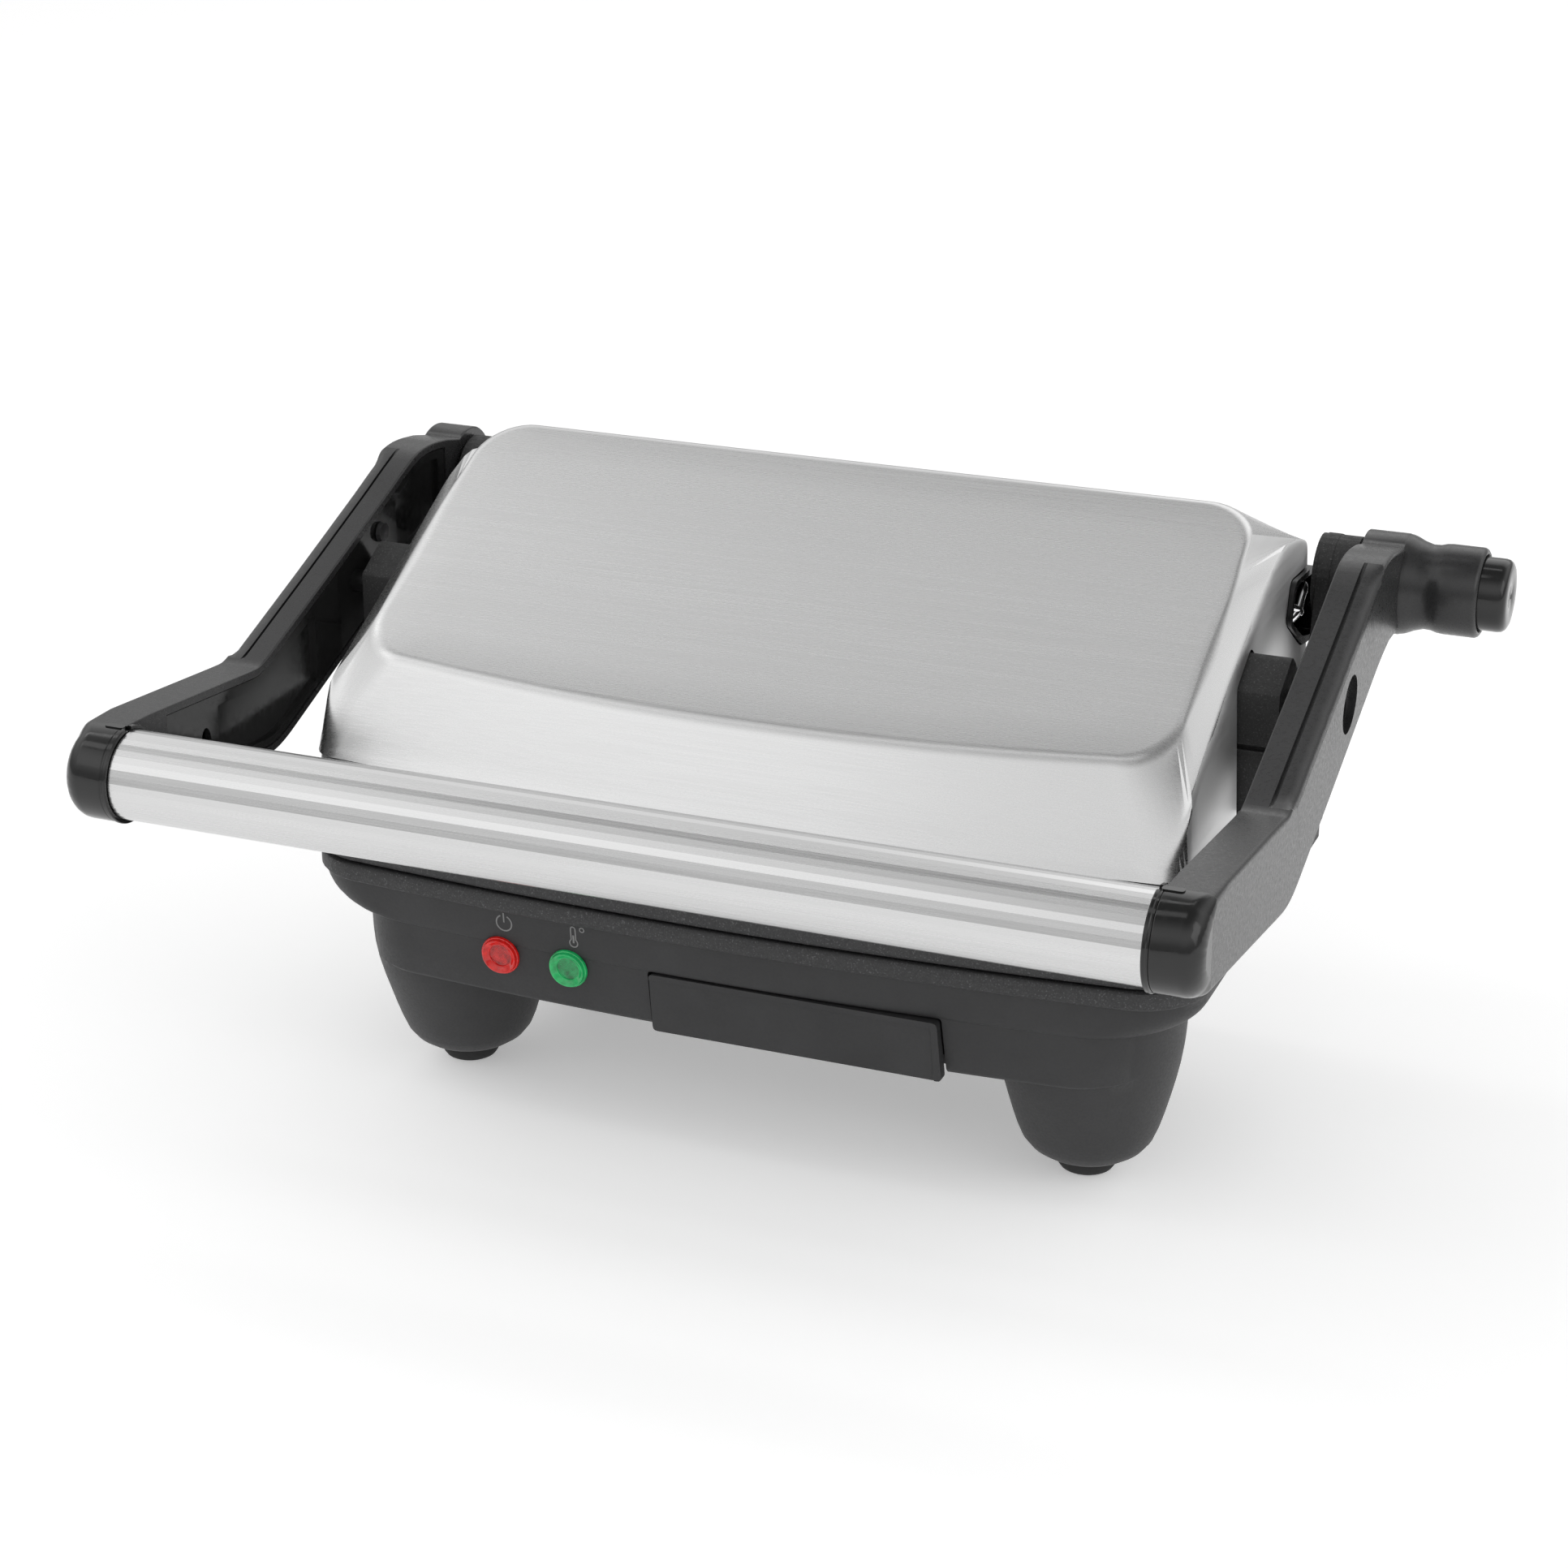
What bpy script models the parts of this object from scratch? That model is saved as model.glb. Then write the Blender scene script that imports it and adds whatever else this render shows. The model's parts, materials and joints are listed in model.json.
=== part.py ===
"""Panini press: a contact grill with a floating lid, two hinged arms and a steel handle bar.

The press stands closed. X runs across it (right is +X), Y runs back from the handle bar's axis
and Z runs up from the table. All lengths below are millimetres; MM turns them into metres.
"""
import math

import bmesh
import bpy
from mathutils import Matrix, Vector

MM = 0.001
GAP = 0.3

# Overall layout
BAR_HEIGHT = 112.0
BAR_HALF_LENGTH = 130.0
BAR_RADIUS = 11.2
CAP_RADIUS = 12.4
HINGE = Vector((0.0, 190.0, 136.0))
PIVOT = Vector((0.0, 127.0, 122.0))
KNUCKLE_RADIUS = 13.5
POST_RADIUS = 11.3
ARM_INNER = 131.7
ARM_OUTER = 143.5
POST_INNER = 121.0
POST_OUTER = 124.8
BOSS_INNER = 119.9
BOSS_OUTER = 130.5
PIN_RADIUS = 4.0
PIVOT_PIN_RADIUS = 3.0
ARM_SCREWS = ((27.0, 109.0), (134.0, 134.5))

# Release button on the right hinge barrel
BARREL_RADIUS = 11.9
BARREL_END = 163.5
BUTTON_RADIUS = 9.7
BUTTON_END = 170.6
BUTTON_HOME = 152.0
BORE_END = 144.5

# Base casing
RIM_TOP = 66.2
RIM_BOTTOM = 61.5
RIM_HALF_WIDTH = 123.0
RIM_FRONT = 58.5
RIM_CORNER = 19.0
FLANGE_BOTTOM = 51.0
BODY_HALF_WIDTH = 109.0
BASE_REAR = 196.0
BODY_REAR = 191.4
BASE_FLOOR = 36.0
WALL = 2.5
FRONT_BOW = 5.0
FRONT_LEG = (89.0, 95.0)
REAR_LEG = (76.0, 150.0)
LEG_REACH = 4.0
LEG_BOTTOM = 5.0

# Lamps in the front panel and the inlet bush in the rear wall
LAMP_X = {"power": -62.7, "ready": -42.7}
LAMP_HEIGHT = 47.8
GLAND_X = 52.0
GLAND_Y = BODY_REAR - 1.9
GLAND_HEIGHT = 43.5

# Drip tray, its front panel and its opening
TRAY_LEFT = -19.6
TRAY_RIGHT = 60.4
TRAY_BOTTOM = 34.6
TRAY_TOP = 50.5
TRAY_FRONT = RIM_FRONT + 2.4
TRAY_BACK = 122.0

# Grill plates
LOWER_HALF_WIDTH = 119.0
UPPER_HALF_WIDTH = 116.8
PLATE_FRONT = 66.0
PLATE_BACK = 190.0
PLATE_THICKNESS = 3.0
RIDGE_HEIGHT = 2.0
RIDGE_PITCH = 8.4
RIDGE_COUNT = 25

# Lid
LID_PARTING = 67.0
STEEL_BOTTOM = 95.0
STEEL = 1.0
FRAME_HALF_WIDTH = 124.0
CREASE_FRONT = 73.7
CREASE_FRONT_HEIGHT = 117.7
CREASE_REAR = 161.7
CREASE_REAR_HEIGHT = 162.2

# Origin of the part: the middle of its bounding box, on the table
MIDDLE_X = (BUTTON_END - ARM_OUTER) / 2
MIDDLE_Y = (HINGE.y + KNUCKLE_RADIUS - CAP_RADIUS) / 2


def new_collection(name):
    collection = bpy.data.collections.new(name)
    bpy.context.scene.collection.children.link(collection)
    return collection


def new_material(name, colour, roughness, metallic=0.0):
    material = bpy.data.materials.new(name)
    material.use_nodes = True
    shader = material.node_tree.nodes["Principled BSDF"]
    shader.inputs["Base Color"].default_value = (*colour, 1.0)
    shader.inputs["Roughness"].default_value = roughness
    shader.inputs["Metallic"].default_value = metallic
    material.diffuse_color = (*colour, 1.0)
    return material


def new_empty(name, point, parent=None):
    """An empty at a point of the press; a child empty keeps the press's axes."""
    empty = bpy.data.objects.new(name, None)
    empty.empty_display_size = 0.02
    empty.parent = parent
    empty.location = Vector(point) * MM
    PARTS.objects.link(empty)
    return empty


def seat(obj, body):
    """Hang an object on a body's empty, with its mesh given in the press's own coordinates."""
    obj.parent = body
    if body is not PRESS:
        obj.location = obj.location - body.location
    return obj


def finish(obj, material=None, body=None):
    """Link a sub-part with its material, or a cutter where no material is given."""
    if material is None:
        CUTTERS.objects.link(obj)
        obj.hide_render = True
        obj.display_type = "WIRE"
    else:
        PARTS.objects.link(obj)
        obj.data.materials.append(material)
    return seat(obj, body or PRESS)


def mesh_object(name, mesh_data):
    """Turn a bmesh in millimetres into an object in metres, faces outward and smooth-shaded."""
    bmesh.ops.recalc_face_normals(mesh_data, faces=mesh_data.faces)
    bmesh.ops.scale(mesh_data, vec=(MM, MM, MM), verts=mesh_data.verts)
    mesh = bpy.data.meshes.new(name)
    mesh_data.to_mesh(mesh)
    mesh_data.free()
    mesh.shade_smooth()
    mesh.set_sharp_from_angle(angle=math.radians(35))
    return bpy.data.objects.new(name, mesh)


def box(name, low, high):
    low, high = Vector(low), Vector(high)
    mesh_data = bmesh.new()
    size = high - low
    place = Matrix.Translation((low + high) / 2) @ Matrix.Diagonal((*size, 1.0))
    bmesh.ops.create_cube(mesh_data, size=1.0, matrix=place)
    return mesh_object(name, mesh_data)


def turned(name, profile, point, along=(0, 0, 1), steps=24):
    """Turn a profile of (radius, height) pairs, top to bottom, about a line through a point."""
    mesh_data = bmesh.new()
    ring = [mesh_data.verts.new((radius * MM, 0, height * MM)) for radius, height in profile]
    for first, second in zip(ring, ring[1:]):
        mesh_data.edges.new((first, second))
    if profile[0][0] > 0:
        mesh_data.edges.new((ring[-1], ring[0]))
    mesh = bpy.data.meshes.new(name)
    mesh_data.to_mesh(mesh)
    mesh_data.free()
    obj = bpy.data.objects.new(name, mesh)
    screw = obj.modifiers.new("Turn", "SCREW")
    screw.steps = steps
    screw.render_steps = steps
    screw.use_merge_vertices = True
    screw.merge_threshold = 0.00001
    obj.location = Vector(point) * MM
    obj.rotation_mode = "QUATERNION"
    obj.rotation_quaternion = Vector(along).to_track_quat("Z", "Y")
    return obj


def rod(name, start, end, radius, steps=20):
    start, end = Vector(start), Vector(end)
    length = (end - start).length
    return turned(name, [(0, length), (radius, length), (radius, 0), (0, 0)], start, end - start, steps)


def tube_ring(name, outer, inner, start, end, steps=32):
    start, end = Vector(start), Vector(end)
    length = (end - start).length
    profile = [(outer, length), (outer, 0), (inner, 0), (inner, length)]
    return turned(name, profile, start, end - start, steps)


def as_mesh(curve_object):
    """Replace a curve object by the mesh that it evaluates to, with its caps welded on."""
    bpy.context.scene.collection.objects.link(curve_object)
    graph = bpy.context.evaluated_depsgraph_get()
    mesh = bpy.data.meshes.new_from_object(curve_object.evaluated_get(graph))
    mesh_data = bmesh.new()
    mesh_data.from_mesh(mesh)
    bmesh.ops.remove_doubles(mesh_data, verts=mesh_data.verts, dist=0.000005)
    bmesh.ops.recalc_face_normals(mesh_data, faces=mesh_data.faces)
    mesh_data.to_mesh(mesh)
    mesh_data.free()
    mesh.shade_smooth()
    mesh.set_sharp_from_angle(angle=math.radians(35))
    name = curve_object.name
    place = curve_object.matrix_world.copy()
    bpy.data.objects.remove(curve_object)
    obj = bpy.data.objects.new(name, mesh)
    obj.matrix_world = place
    return obj


def plate(name, outline, x_low, x_high):
    """A flat outline of (y, z) points in the side view, extruded along X."""
    side_view = Matrix(((0, 0, 1), (1, 0, 0), (0, 1, 0))).to_4x4()
    return extruded(name, outline, x_high - x_low, side_view, ((x_low + x_high) / 2, 0, 0))


def slab(name, outline, z_low, z_high):
    """A flat outline of (x, y) points in the top view, extruded along Z."""
    return extruded(name, outline, z_high - z_low, Matrix.Identity(4), (0, 0, (z_low + z_high) / 2))


def bar_stock(name, outline, y_low, y_high):
    """A flat outline of (x, z) points in the front view, extruded along Y."""
    front_view = Matrix(((1, 0, 0), (0, 0, -1), (0, 1, 0))).to_4x4()
    return extruded(name, outline, y_high - y_low, front_view, (0, (y_low + y_high) / 2, 0))


def extruded(name, outline, thickness, view, point):
    curve = bpy.data.curves.new(name, "CURVE")
    curve.dimensions = "2D"
    curve.fill_mode = "BOTH"
    curve.extrude = thickness / 2 * MM
    spline = curve.splines.new("POLY")
    spline.points.add(len(outline) - 1)
    for target, (first, second) in zip(spline.points, outline):
        target.co = (first * MM, second * MM, 0, 1)
    spline.use_cyclic_u = True
    obj = bpy.data.objects.new(name, curve)
    obj.matrix_world = Matrix.Translation(Vector(point) * MM) @ view
    return as_mesh(obj)


def wire(name, points, radius):
    """A round wire or heater along points, with closed ends."""
    curve = bpy.data.curves.new(name, "CURVE")
    curve.dimensions = "3D"
    curve.bevel_depth = radius * MM
    curve.bevel_resolution = 2
    curve.use_fill_caps = True
    spline = curve.splines.new("POLY")
    spline.points.add(len(points) - 1)
    for target, point in zip(spline.points, points):
        target.co = (*(Vector(point) * MM), 1)
    return as_mesh(bpy.data.objects.new(name, curve))


def loft(name, rings):
    """Skin a stack of rings with equal point counts and cap both ends."""
    mesh_data = bmesh.new()
    rows = [[mesh_data.verts.new(point) for point in ring] for ring in rings]
    count = len(rows[0])
    for lower, upper in zip(rows, rows[1:]):
        for i in range(count):
            j = (i + 1) % count
            mesh_data.faces.new((lower[i], lower[j], upper[j], upper[i]))
    mesh_data.faces.new(rows[-1])
    mesh_data.faces.new(list(reversed(rows[0])))
    bmesh.ops.triangulate(mesh_data, faces=mesh_data.faces)
    return mesh_object(name, mesh_data)


def boolean(obj, other, operation):
    modifier = obj.modifiers.new(other.name, "BOOLEAN")
    modifier.operation = operation
    modifier.solver = "EXACT"
    modifier.object = other


def cut(obj, *cutters):
    for cutter in cutters:
        boolean(obj, finish(cutter), "DIFFERENCE")
    return obj


def join(obj, *others):
    for other in others:
        boolean(obj, finish(other), "UNION")
    return obj


def bevel(obj, width, segments=2, angle=50):
    modifier = obj.modifiers.new("Rounded edges", "BEVEL")
    modifier.width = width * MM
    modifier.segments = segments
    modifier.limit_method = "ANGLE"
    modifier.angle_limit = math.radians(angle)
    return obj


def arc(centre, radius, start, end, steps):
    """Points on an arc about a centre, between two angles in degrees."""
    turns = [math.radians(start + (end - start) * i / steps) for i in range(steps + 1)]
    return [(centre[0] + radius * math.cos(t), centre[1] + radius * math.sin(t)) for t in turns]


def rounded_rectangle(low, high, radius, steps=4):
    corners = [((high[0] - radius, high[1] - radius), 0), ((low[0] + radius, high[1] - radius), 90)]
    corners += [((low[0] + radius, low[1] + radius), 180), ((high[0] - radius, low[1] + radius), 270)]
    points = []
    for centre, start in corners:
        points += arc(centre, radius, start, start + 90, steps)
    return points


def plan_ring(half_width, front, rear, corner, height, tilt=0.0, bow=FRONT_BOW):
    """A closed plan outline with a bowed front edge, on a level or a front-to-back tilted plane."""
    straight = half_width - corner
    half = [(straight * i / 4, front + bow * (i / 4) ** 2) for i in range(5)]
    half += arc((straight, front + bow + corner), corner, -90, 0, 5)[1:]
    half.append((half_width, min(CREASE_REAR, rear - corner - 4)))
    half += arc((straight, rear - corner), corner, 0, 90, 5)
    half.append((0, rear))
    outline = half + [(-x, y) for x, y in reversed(half[1:-1])]
    return [(x, y, height + tilt * (y - front)) for x, y in outline]


def helix(centre, radius, start, end, turns, along="Z", per_turn=10):
    """Points of a coil between two heights (along Z) or two widths (along X)."""
    points = []
    for i in range(turns * per_turn + 1):
        angle = 2 * math.pi * i / per_turn
        travel = start + (end - start) * i / (turns * per_turn)
        first, second = radius * math.cos(angle), radius * math.sin(angle)
        if along == "Z":
            points.append((centre[0] + first, centre[1] + second, travel))
        else:
            points.append((travel, centre[0] + first, centre[1] + second))
    return points


def mirrored(side, low, high):
    """Low and high X of a piece on the right (side 1) or the left (side -1)."""
    return (low, high) if side > 0 else (-high, -low)


# Base casing

def base_rings(inset, floor, top):
    """The casing's outer skin, or the same skin moved inward by a wall."""
    profile = [(top, RIM_HALF_WIDTH, RIM_FRONT, BASE_REAR)]
    profile += [(RIM_BOTTOM, RIM_HALF_WIDTH, RIM_FRONT, BASE_REAR)]
    sweep = RIM_HALF_WIDTH - 0.6 - BODY_HALF_WIDTH
    rear_sweep = BASE_REAR - 0.6 - BODY_REAR
    for i in range(6):
        turn = math.radians(90 * i / 5)
        height = RIM_BOTTOM - 0.7 - (RIM_BOTTOM - 0.7 - FLANGE_BOTTOM) * math.sin(turn)
        width = BODY_HALF_WIDTH + sweep * math.cos(turn)
        rear = BODY_REAR + rear_sweep * math.cos(turn)
        profile.append((height, width, RIM_FRONT + 1.5 + 0.3 * i, rear))
    profile.append((floor, BODY_HALF_WIDTH - 0.5, RIM_FRONT + 3.6, BODY_REAR))
    rings = []
    for height, half_width, front, rear in reversed(profile):
        width, corner = half_width - inset, RIM_CORNER - inset
        bow = FRONT_BOW * ((width - corner) / (RIM_HALF_WIDTH - RIM_CORNER)) ** 2
        rings.append(plan_ring(width, front + inset, rear - inset, corner, height, bow=bow))
    return rings


def panel_y(x, height):
    """How far back the casing's front panel stands at a width and a height."""
    lean = (FLANGE_BOTTOM - height) / (FLANGE_BOTTOM - BASE_FLOOR)
    return RIM_FRONT + 3.0 + 0.6 * lean + FRONT_BOW * (x / (RIM_HALF_WIDTH - RIM_CORNER)) ** 2


def leg(name, x, y, inset):
    """A leg boss that swells upward and leans out to the casing's wall, or its hollow inside."""
    outward = -1 if y < (RIM_FRONT + BASE_REAR) / 2 else 1
    profile = [(LEG_BOTTOM, 8.6), (11.0, 17.4), (17.5, 19.8), (33.0, 24.1), (42.0, 24.5), (50.5, 24.7)]
    if inset:
        profile = [(LEG_BOTTOM + 3.0, 10.6)] + profile[1:]
    rings = []
    for height, radius in profile:
        reach = LEG_REACH * max(0.0, min(1.0, (height - 17.5) / 20.0))
        ring = []
        for along, back in arc((0.0, 0.0), radius - inset, 0, 342, 19):
            stretch = 1 + reach / radius if back * outward > 0 else 1.0
            ring.append((x + along, y + back * stretch, height))
        rings.append(ring)
    return loft(name, rings)


def leg_places():
    return [(side, x * place[0], place[1]) for side, x, place in (
        ("front_left", -1, FRONT_LEG), ("front_right", 1, FRONT_LEG),
        ("rear_left", -1, REAR_LEG), ("rear_right", 1, REAR_LEG))]


def cover_screw_places():
    return [(x, y) for y in (133.0, 182.0) for x in (-44.0, 44.0)]


def build_base():
    housing = finish(loft("base_housing", base_rings(0, BASE_FLOOR, RIM_TOP)), CASING)
    for corner, x, y in leg_places():
        join(housing, leg("leg_" + corner, x, y, 0))
    for side in (-1, 1):
        low, high = mirrored(side, RIM_HALF_WIDTH - 6, POST_OUTER - 0.6)
        shoulder = box("shoulder", (low, 169.5, RIM_BOTTOM), (high, 190, RIM_TOP - 0.5))
        join(housing, bevel(shoulder, 1.0))
    cut(housing, loft("hollow", base_rings(WALL, BASE_FLOOR + WALL, RIM_TOP + 5)))
    for corner, x, y in leg_places():
        cut(housing, leg("leg_hollow_" + corner, x, y, WALL))
        cut(housing, rod("foot_hole", (x, y, 0), (x, y, 12), 3.0, 16))
        build_foot(corner, x, y)
    opening = [(TRAY_LEFT - 0.5, TRAY_TOP + 0.5), (TRAY_LEFT + 0.6, TRAY_BOTTOM - 4)]
    opening += [(TRAY_RIGHT + 0.9, TRAY_BOTTOM - 4), (TRAY_RIGHT - 1.1, TRAY_TOP + 0.5)]
    cut(housing, bar_stock("tray_opening", opening, 40, 68.6))
    cut(housing, box("service_opening", (-36, 128, 30), (36, 178, 45)))
    for x, y in cover_screw_places():
        join(housing, rod("cover_post", (x, y, BASE_FLOOR + 1), (x, y, 46), 3.6, 12))
        cut(housing, rod("cover_screw_hole", (x, y, 30), (x, y, 44), 1.7, 12))
    for x in LAMP_X.values():
        y = panel_y(x, LAMP_HEIGHT)
        cut(housing, rod("lamp_hole", (x, y - 8, LAMP_HEIGHT), (x, y + 8, LAMP_HEIGHT), 4.9, 20))
    start, end = (GLAND_X, 180, GLAND_HEIGHT), (GLAND_X, 210, GLAND_HEIGHT)
    cut(housing, rod("gland_hole", start, end, 5.3, 20))


def build_foot(corner, x, y):
    profile = [(0, 9.0), (2.6, 9.0), (2.6, LEG_BOTTOM - GAP), (8.0, LEG_BOTTOM - GAP)]
    profile += [(7.4, 1.6), (5.8, 0.0), (0, 0.0)]
    finish(turned(corner + "_foot", profile, (x, y, 0), steps=20), RUBBER)


def build_bottom_cover():
    outline = rounded_rectangle((-50, 124), (50, 188), 5)
    cover = finish(slab("base_bottom_cover", outline, BASE_FLOOR - 2.3, BASE_FLOOR - GAP), CASING)
    for number, (x, y) in enumerate(cover_screw_places(), 1):
        cut(cover, rod("cover_hole", (x, y, 30), (x, y, 40), 1.7, 12))
        head = BASE_FLOOR - 2.6
        profile = [(0, 43.0), (1.3, 43.0), (1.3, head), (3.0, head), (2.6, head - 1.4), (0, head - 1.8)]
        finish(turned(f"cover_screw_{number}", profile, (x, y, 0), steps=12), STEEL_PARTS)


def build_lamp(kind, material):
    """A lens with a raised rim in the front panel, and the neon lamp behind it."""
    x = LAMP_X[kind]
    y = panel_y(x, LAMP_HEIGHT)
    lean = math.radians(5)
    forward = Vector((0, -math.cos(lean), -math.sin(lean)))
    profile = [(0, 1.8), (2.4, 1.7), (4.0, 1.3), (4.6, 1.8), (5.2, 1.5), (5.3, 0.9)]
    profile += [(4.4, 0.9), (4.4, -4.0), (3.4, -4.0), (3.4, -0.2), (0, -0.2)]
    finish(turned(f"{kind}_lamp_lens", profile, (x, y, LAMP_HEIGHT), forward, 28), material)
    finish(rod(f"{kind}_lamp_bulb", (x, y + 1.5, LAMP_HEIGHT), (x, y + 11, LAMP_HEIGHT), 2.6, 12), GLASS)


def build_heater(name, z, radius, direction):
    """A bent tubular heater whose ends turn away from the plate at the back."""
    left, right, front, back = -88.0, 88.0, 84.0, 172.0
    bend = 22.0
    points = [(left, back + 6, z + direction * 5), (left, back, z)]
    points += [(x, y, z) for x, y in arc((left + bend, front + bend), bend, 180, 270, 5)]
    points += [(x, y, z) for x, y in arc((right - bend, front + bend), bend, -90, 0, 5)]
    points += [(right, back, z), (right, back + 6, z + direction * 5)]
    finish(wire(name, points, radius), HEATER, LID if direction > 0 else PRESS)


def ridged_plate(name, half_width, face, up, body):
    """A cast plate with rounded corners whose ridges point up (1) or down (-1)."""
    span = RIDGE_PITCH * (RIDGE_COUNT - 1) / 2
    outline = [(-half_width - 5, face - up * PLATE_THICKNESS), (-half_width - 5, face)]
    for i in range(RIDGE_COUNT):
        middle = -span + i * RIDGE_PITCH
        outline += [(middle - 2.6, face), (middle - 1.5, face + up * RIDGE_HEIGHT)]
        outline += [(middle + 1.5, face + up * RIDGE_HEIGHT), (middle + 2.6, face)]
    outline += [(half_width + 5, face), (half_width + 5, face - up * PLATE_THICKNESS)]
    cast = bar_stock(name, outline, PLATE_FRONT - 6, PLATE_BACK + 6)
    ring = plan_ring(half_width, PLATE_FRONT - 2.5, PLATE_BACK, 14.0, 0)
    blank = slab(name + "_blank", [(x, y) for x, y, z in ring], face - 8, face + 8)
    boolean(cast, finish(blank), "INTERSECT")
    finish(cast, CAST, body)
    return cast


def sheet_pan(name, z, lip, body):
    """A heat shield: a thin sheet with its edges turned toward the plate."""
    outer = slab(name, rounded_rectangle((-104, 74), (104, 182), 8), min(z, z + lip), max(z, z + lip))
    inner_low = z + 0.8 if lip > 0 else z + lip - 3
    inner_high = z + lip + 3 if lip > 0 else z - 0.8
    hollow = slab(name + "_hollow", rounded_rectangle((-103.2, 74.8), (103.2, 181.2), 7), inner_low, inner_high)
    finish(outer, SHEET, body)
    cut(outer, hollow)
    for x in (-88, 88):
        cut(outer, box("heater_exit", (x - 5, 165, z - 6), (x + 5, 190, z + 6)))


def build_base_insides():
    ridged_plate("lower_grill_plate", LOWER_HALF_WIDTH, RIM_TOP - 0.2 - RIDGE_HEIGHT, 1, PRESS)
    build_heater("lower_heating_element", 57.4, 2.6, -1)
    sheet_pan("lower_heat_shield", 53.2, 3.0, PRESS)
    finish(rod("thermostat", (-66, 150, 45), (-66, 150, 52.8), 7.5, 20), STEEL_PARTS)
    finish(rod("thermal_fuse", (-50, 112, 49.5), (-34, 112, 49.5), 1.8, 12), STEEL_PARTS)
    block = box("terminal_block", (54, 132, BASE_FLOOR + WALL + GAP), (62, 160, 48))
    finish(bevel(block, 0.8, 1), CERAMIC)
    profile = [(7.4, 4.6), (7.4, 2.2), (4.9, 2.0), (4.9, -2.8), (3.4, -3.2), (3.4, 4.6)]
    gland = turned("cord_gland", profile, (GLAND_X, GLAND_Y, GLAND_HEIGHT), (0, 1, 0), 20)
    finish(gland, RUBBER)


def build_posts():
    """Textured posts on the casing's shoulders, and the steel pins they hold."""
    for side, name in ((-1, "left"), (1, "right")):
        low, high = mirrored(side, POST_INNER, POST_OUTER)
        outline = [(171.5, RIM_TOP + GAP), (189.5, RIM_TOP + GAP), (201.5, 122)]
        outline += arc((HINGE.y, HINGE.z), POST_RADIUS, 0, 180, 14)
        outline += [(176.4, 122)]
        post = finish(bevel(plate(name + "_hinge_post", outline, low, high), 1.0, 2), TEXTURED)
        start, end = (side * BOSS_INNER, *HINGE.yz), (side * BOSS_OUTER, *HINGE.yz)
        join(post, rod("post_boss", start, end, POST_RADIUS - 0.2, 32))
        cut(post, rod(name + "_pin_seat", (side * 112, *HINGE.yz), (side * 136, *HINGE.yz), PIN_RADIUS + 0.3))
        start, end = side * (BOSS_INNER + 0.5), side * (ARM_OUTER - 3.5)
        pin = rod(name + "_hinge_pin", (start, *HINGE.yz), (end, *HINGE.yz), PIN_RADIUS)
        finish(pin, STEEL_PARTS)


def build_drip_tray():
    """A shallow pan with a front panel that fills the casing's opening."""
    front = [(TRAY_LEFT, TRAY_TOP), (TRAY_LEFT + 1, TRAY_BOTTOM), (TRAY_RIGHT, TRAY_BOTTOM)]
    front += [(TRAY_RIGHT - 1.6, TRAY_TOP)]
    panel = bar_stock("drip_tray", front, TRAY_FRONT, TRAY_FRONT + 3.0)
    finish(bevel(panel, 0.9, 2), CASING, TRAY)
    low_z = BASE_FLOOR + WALL + GAP
    join(panel, box("pan", (TRAY_LEFT + 2, TRAY_FRONT + 2, low_z), (TRAY_RIGHT - 2.6, TRAY_BACK, 49)))
    pan_low, pan_high = (TRAY_LEFT + 3.6, TRAY_FRONT + 4.6, low_z + 1.6), (TRAY_RIGHT - 4.2, TRAY_BACK - 1.6, 56)
    cut(panel, box("pan_hollow", pan_low, pan_high))


# Arms and handle

ARM_TOP = [(12.0, 123.4), (62.0, 117.9), (66.0, 117.6), (70.0, 118.8), (107.0, 132.0), (140.0, 144.2)]
ARM_TOP += [(150.0, 148.2), (158.0, 150.9), (166.0, 151.3), (176.0, 149.8)]
ARM_BOTTOM = [(8.0, 100.2), (40.0, 95.8), (68.0, 91.9), (76.0, 92.8), (115.0, 107.0), (160.0, 123.9)]
ARM_BOTTOM += [(170.0, 126.2)]


def arm_outline():
    """The side view of an arm: bar cap, knee, bend and hinge knuckle."""
    points = list(ARM_BOTTOM)
    points += arc((HINGE.y, HINGE.z), KNUCKLE_RADIUS, -132, 118, 14)
    points += list(reversed(ARM_TOP))
    points += arc((0.0, BAR_HEIGHT), CAP_RADIUS, 85, 268, 12)
    return points


def height_on(edge, y):
    """The height of an arm's top or bottom edge at a distance back."""
    for (y0, z0), (y1, z1) in zip(edge, edge[1:]):
        if y0 <= y <= y1:
            return z0 + (z1 - z0) * (y - y0) / (y1 - y0)
    return edge[-1][1]


def arm_band(start, end, margin):
    """A strip of the arm's side view between two distances back, inside a margin."""
    stations = sorted({start, end} | {y for y, z in ARM_TOP + ARM_BOTTOM if start < y < end})
    lower = [(y, height_on(ARM_BOTTOM, y) + margin) for y in stations]
    upper = [(y, height_on(ARM_TOP, y) - margin) for y in reversed(stations)]
    return lower + upper


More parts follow.
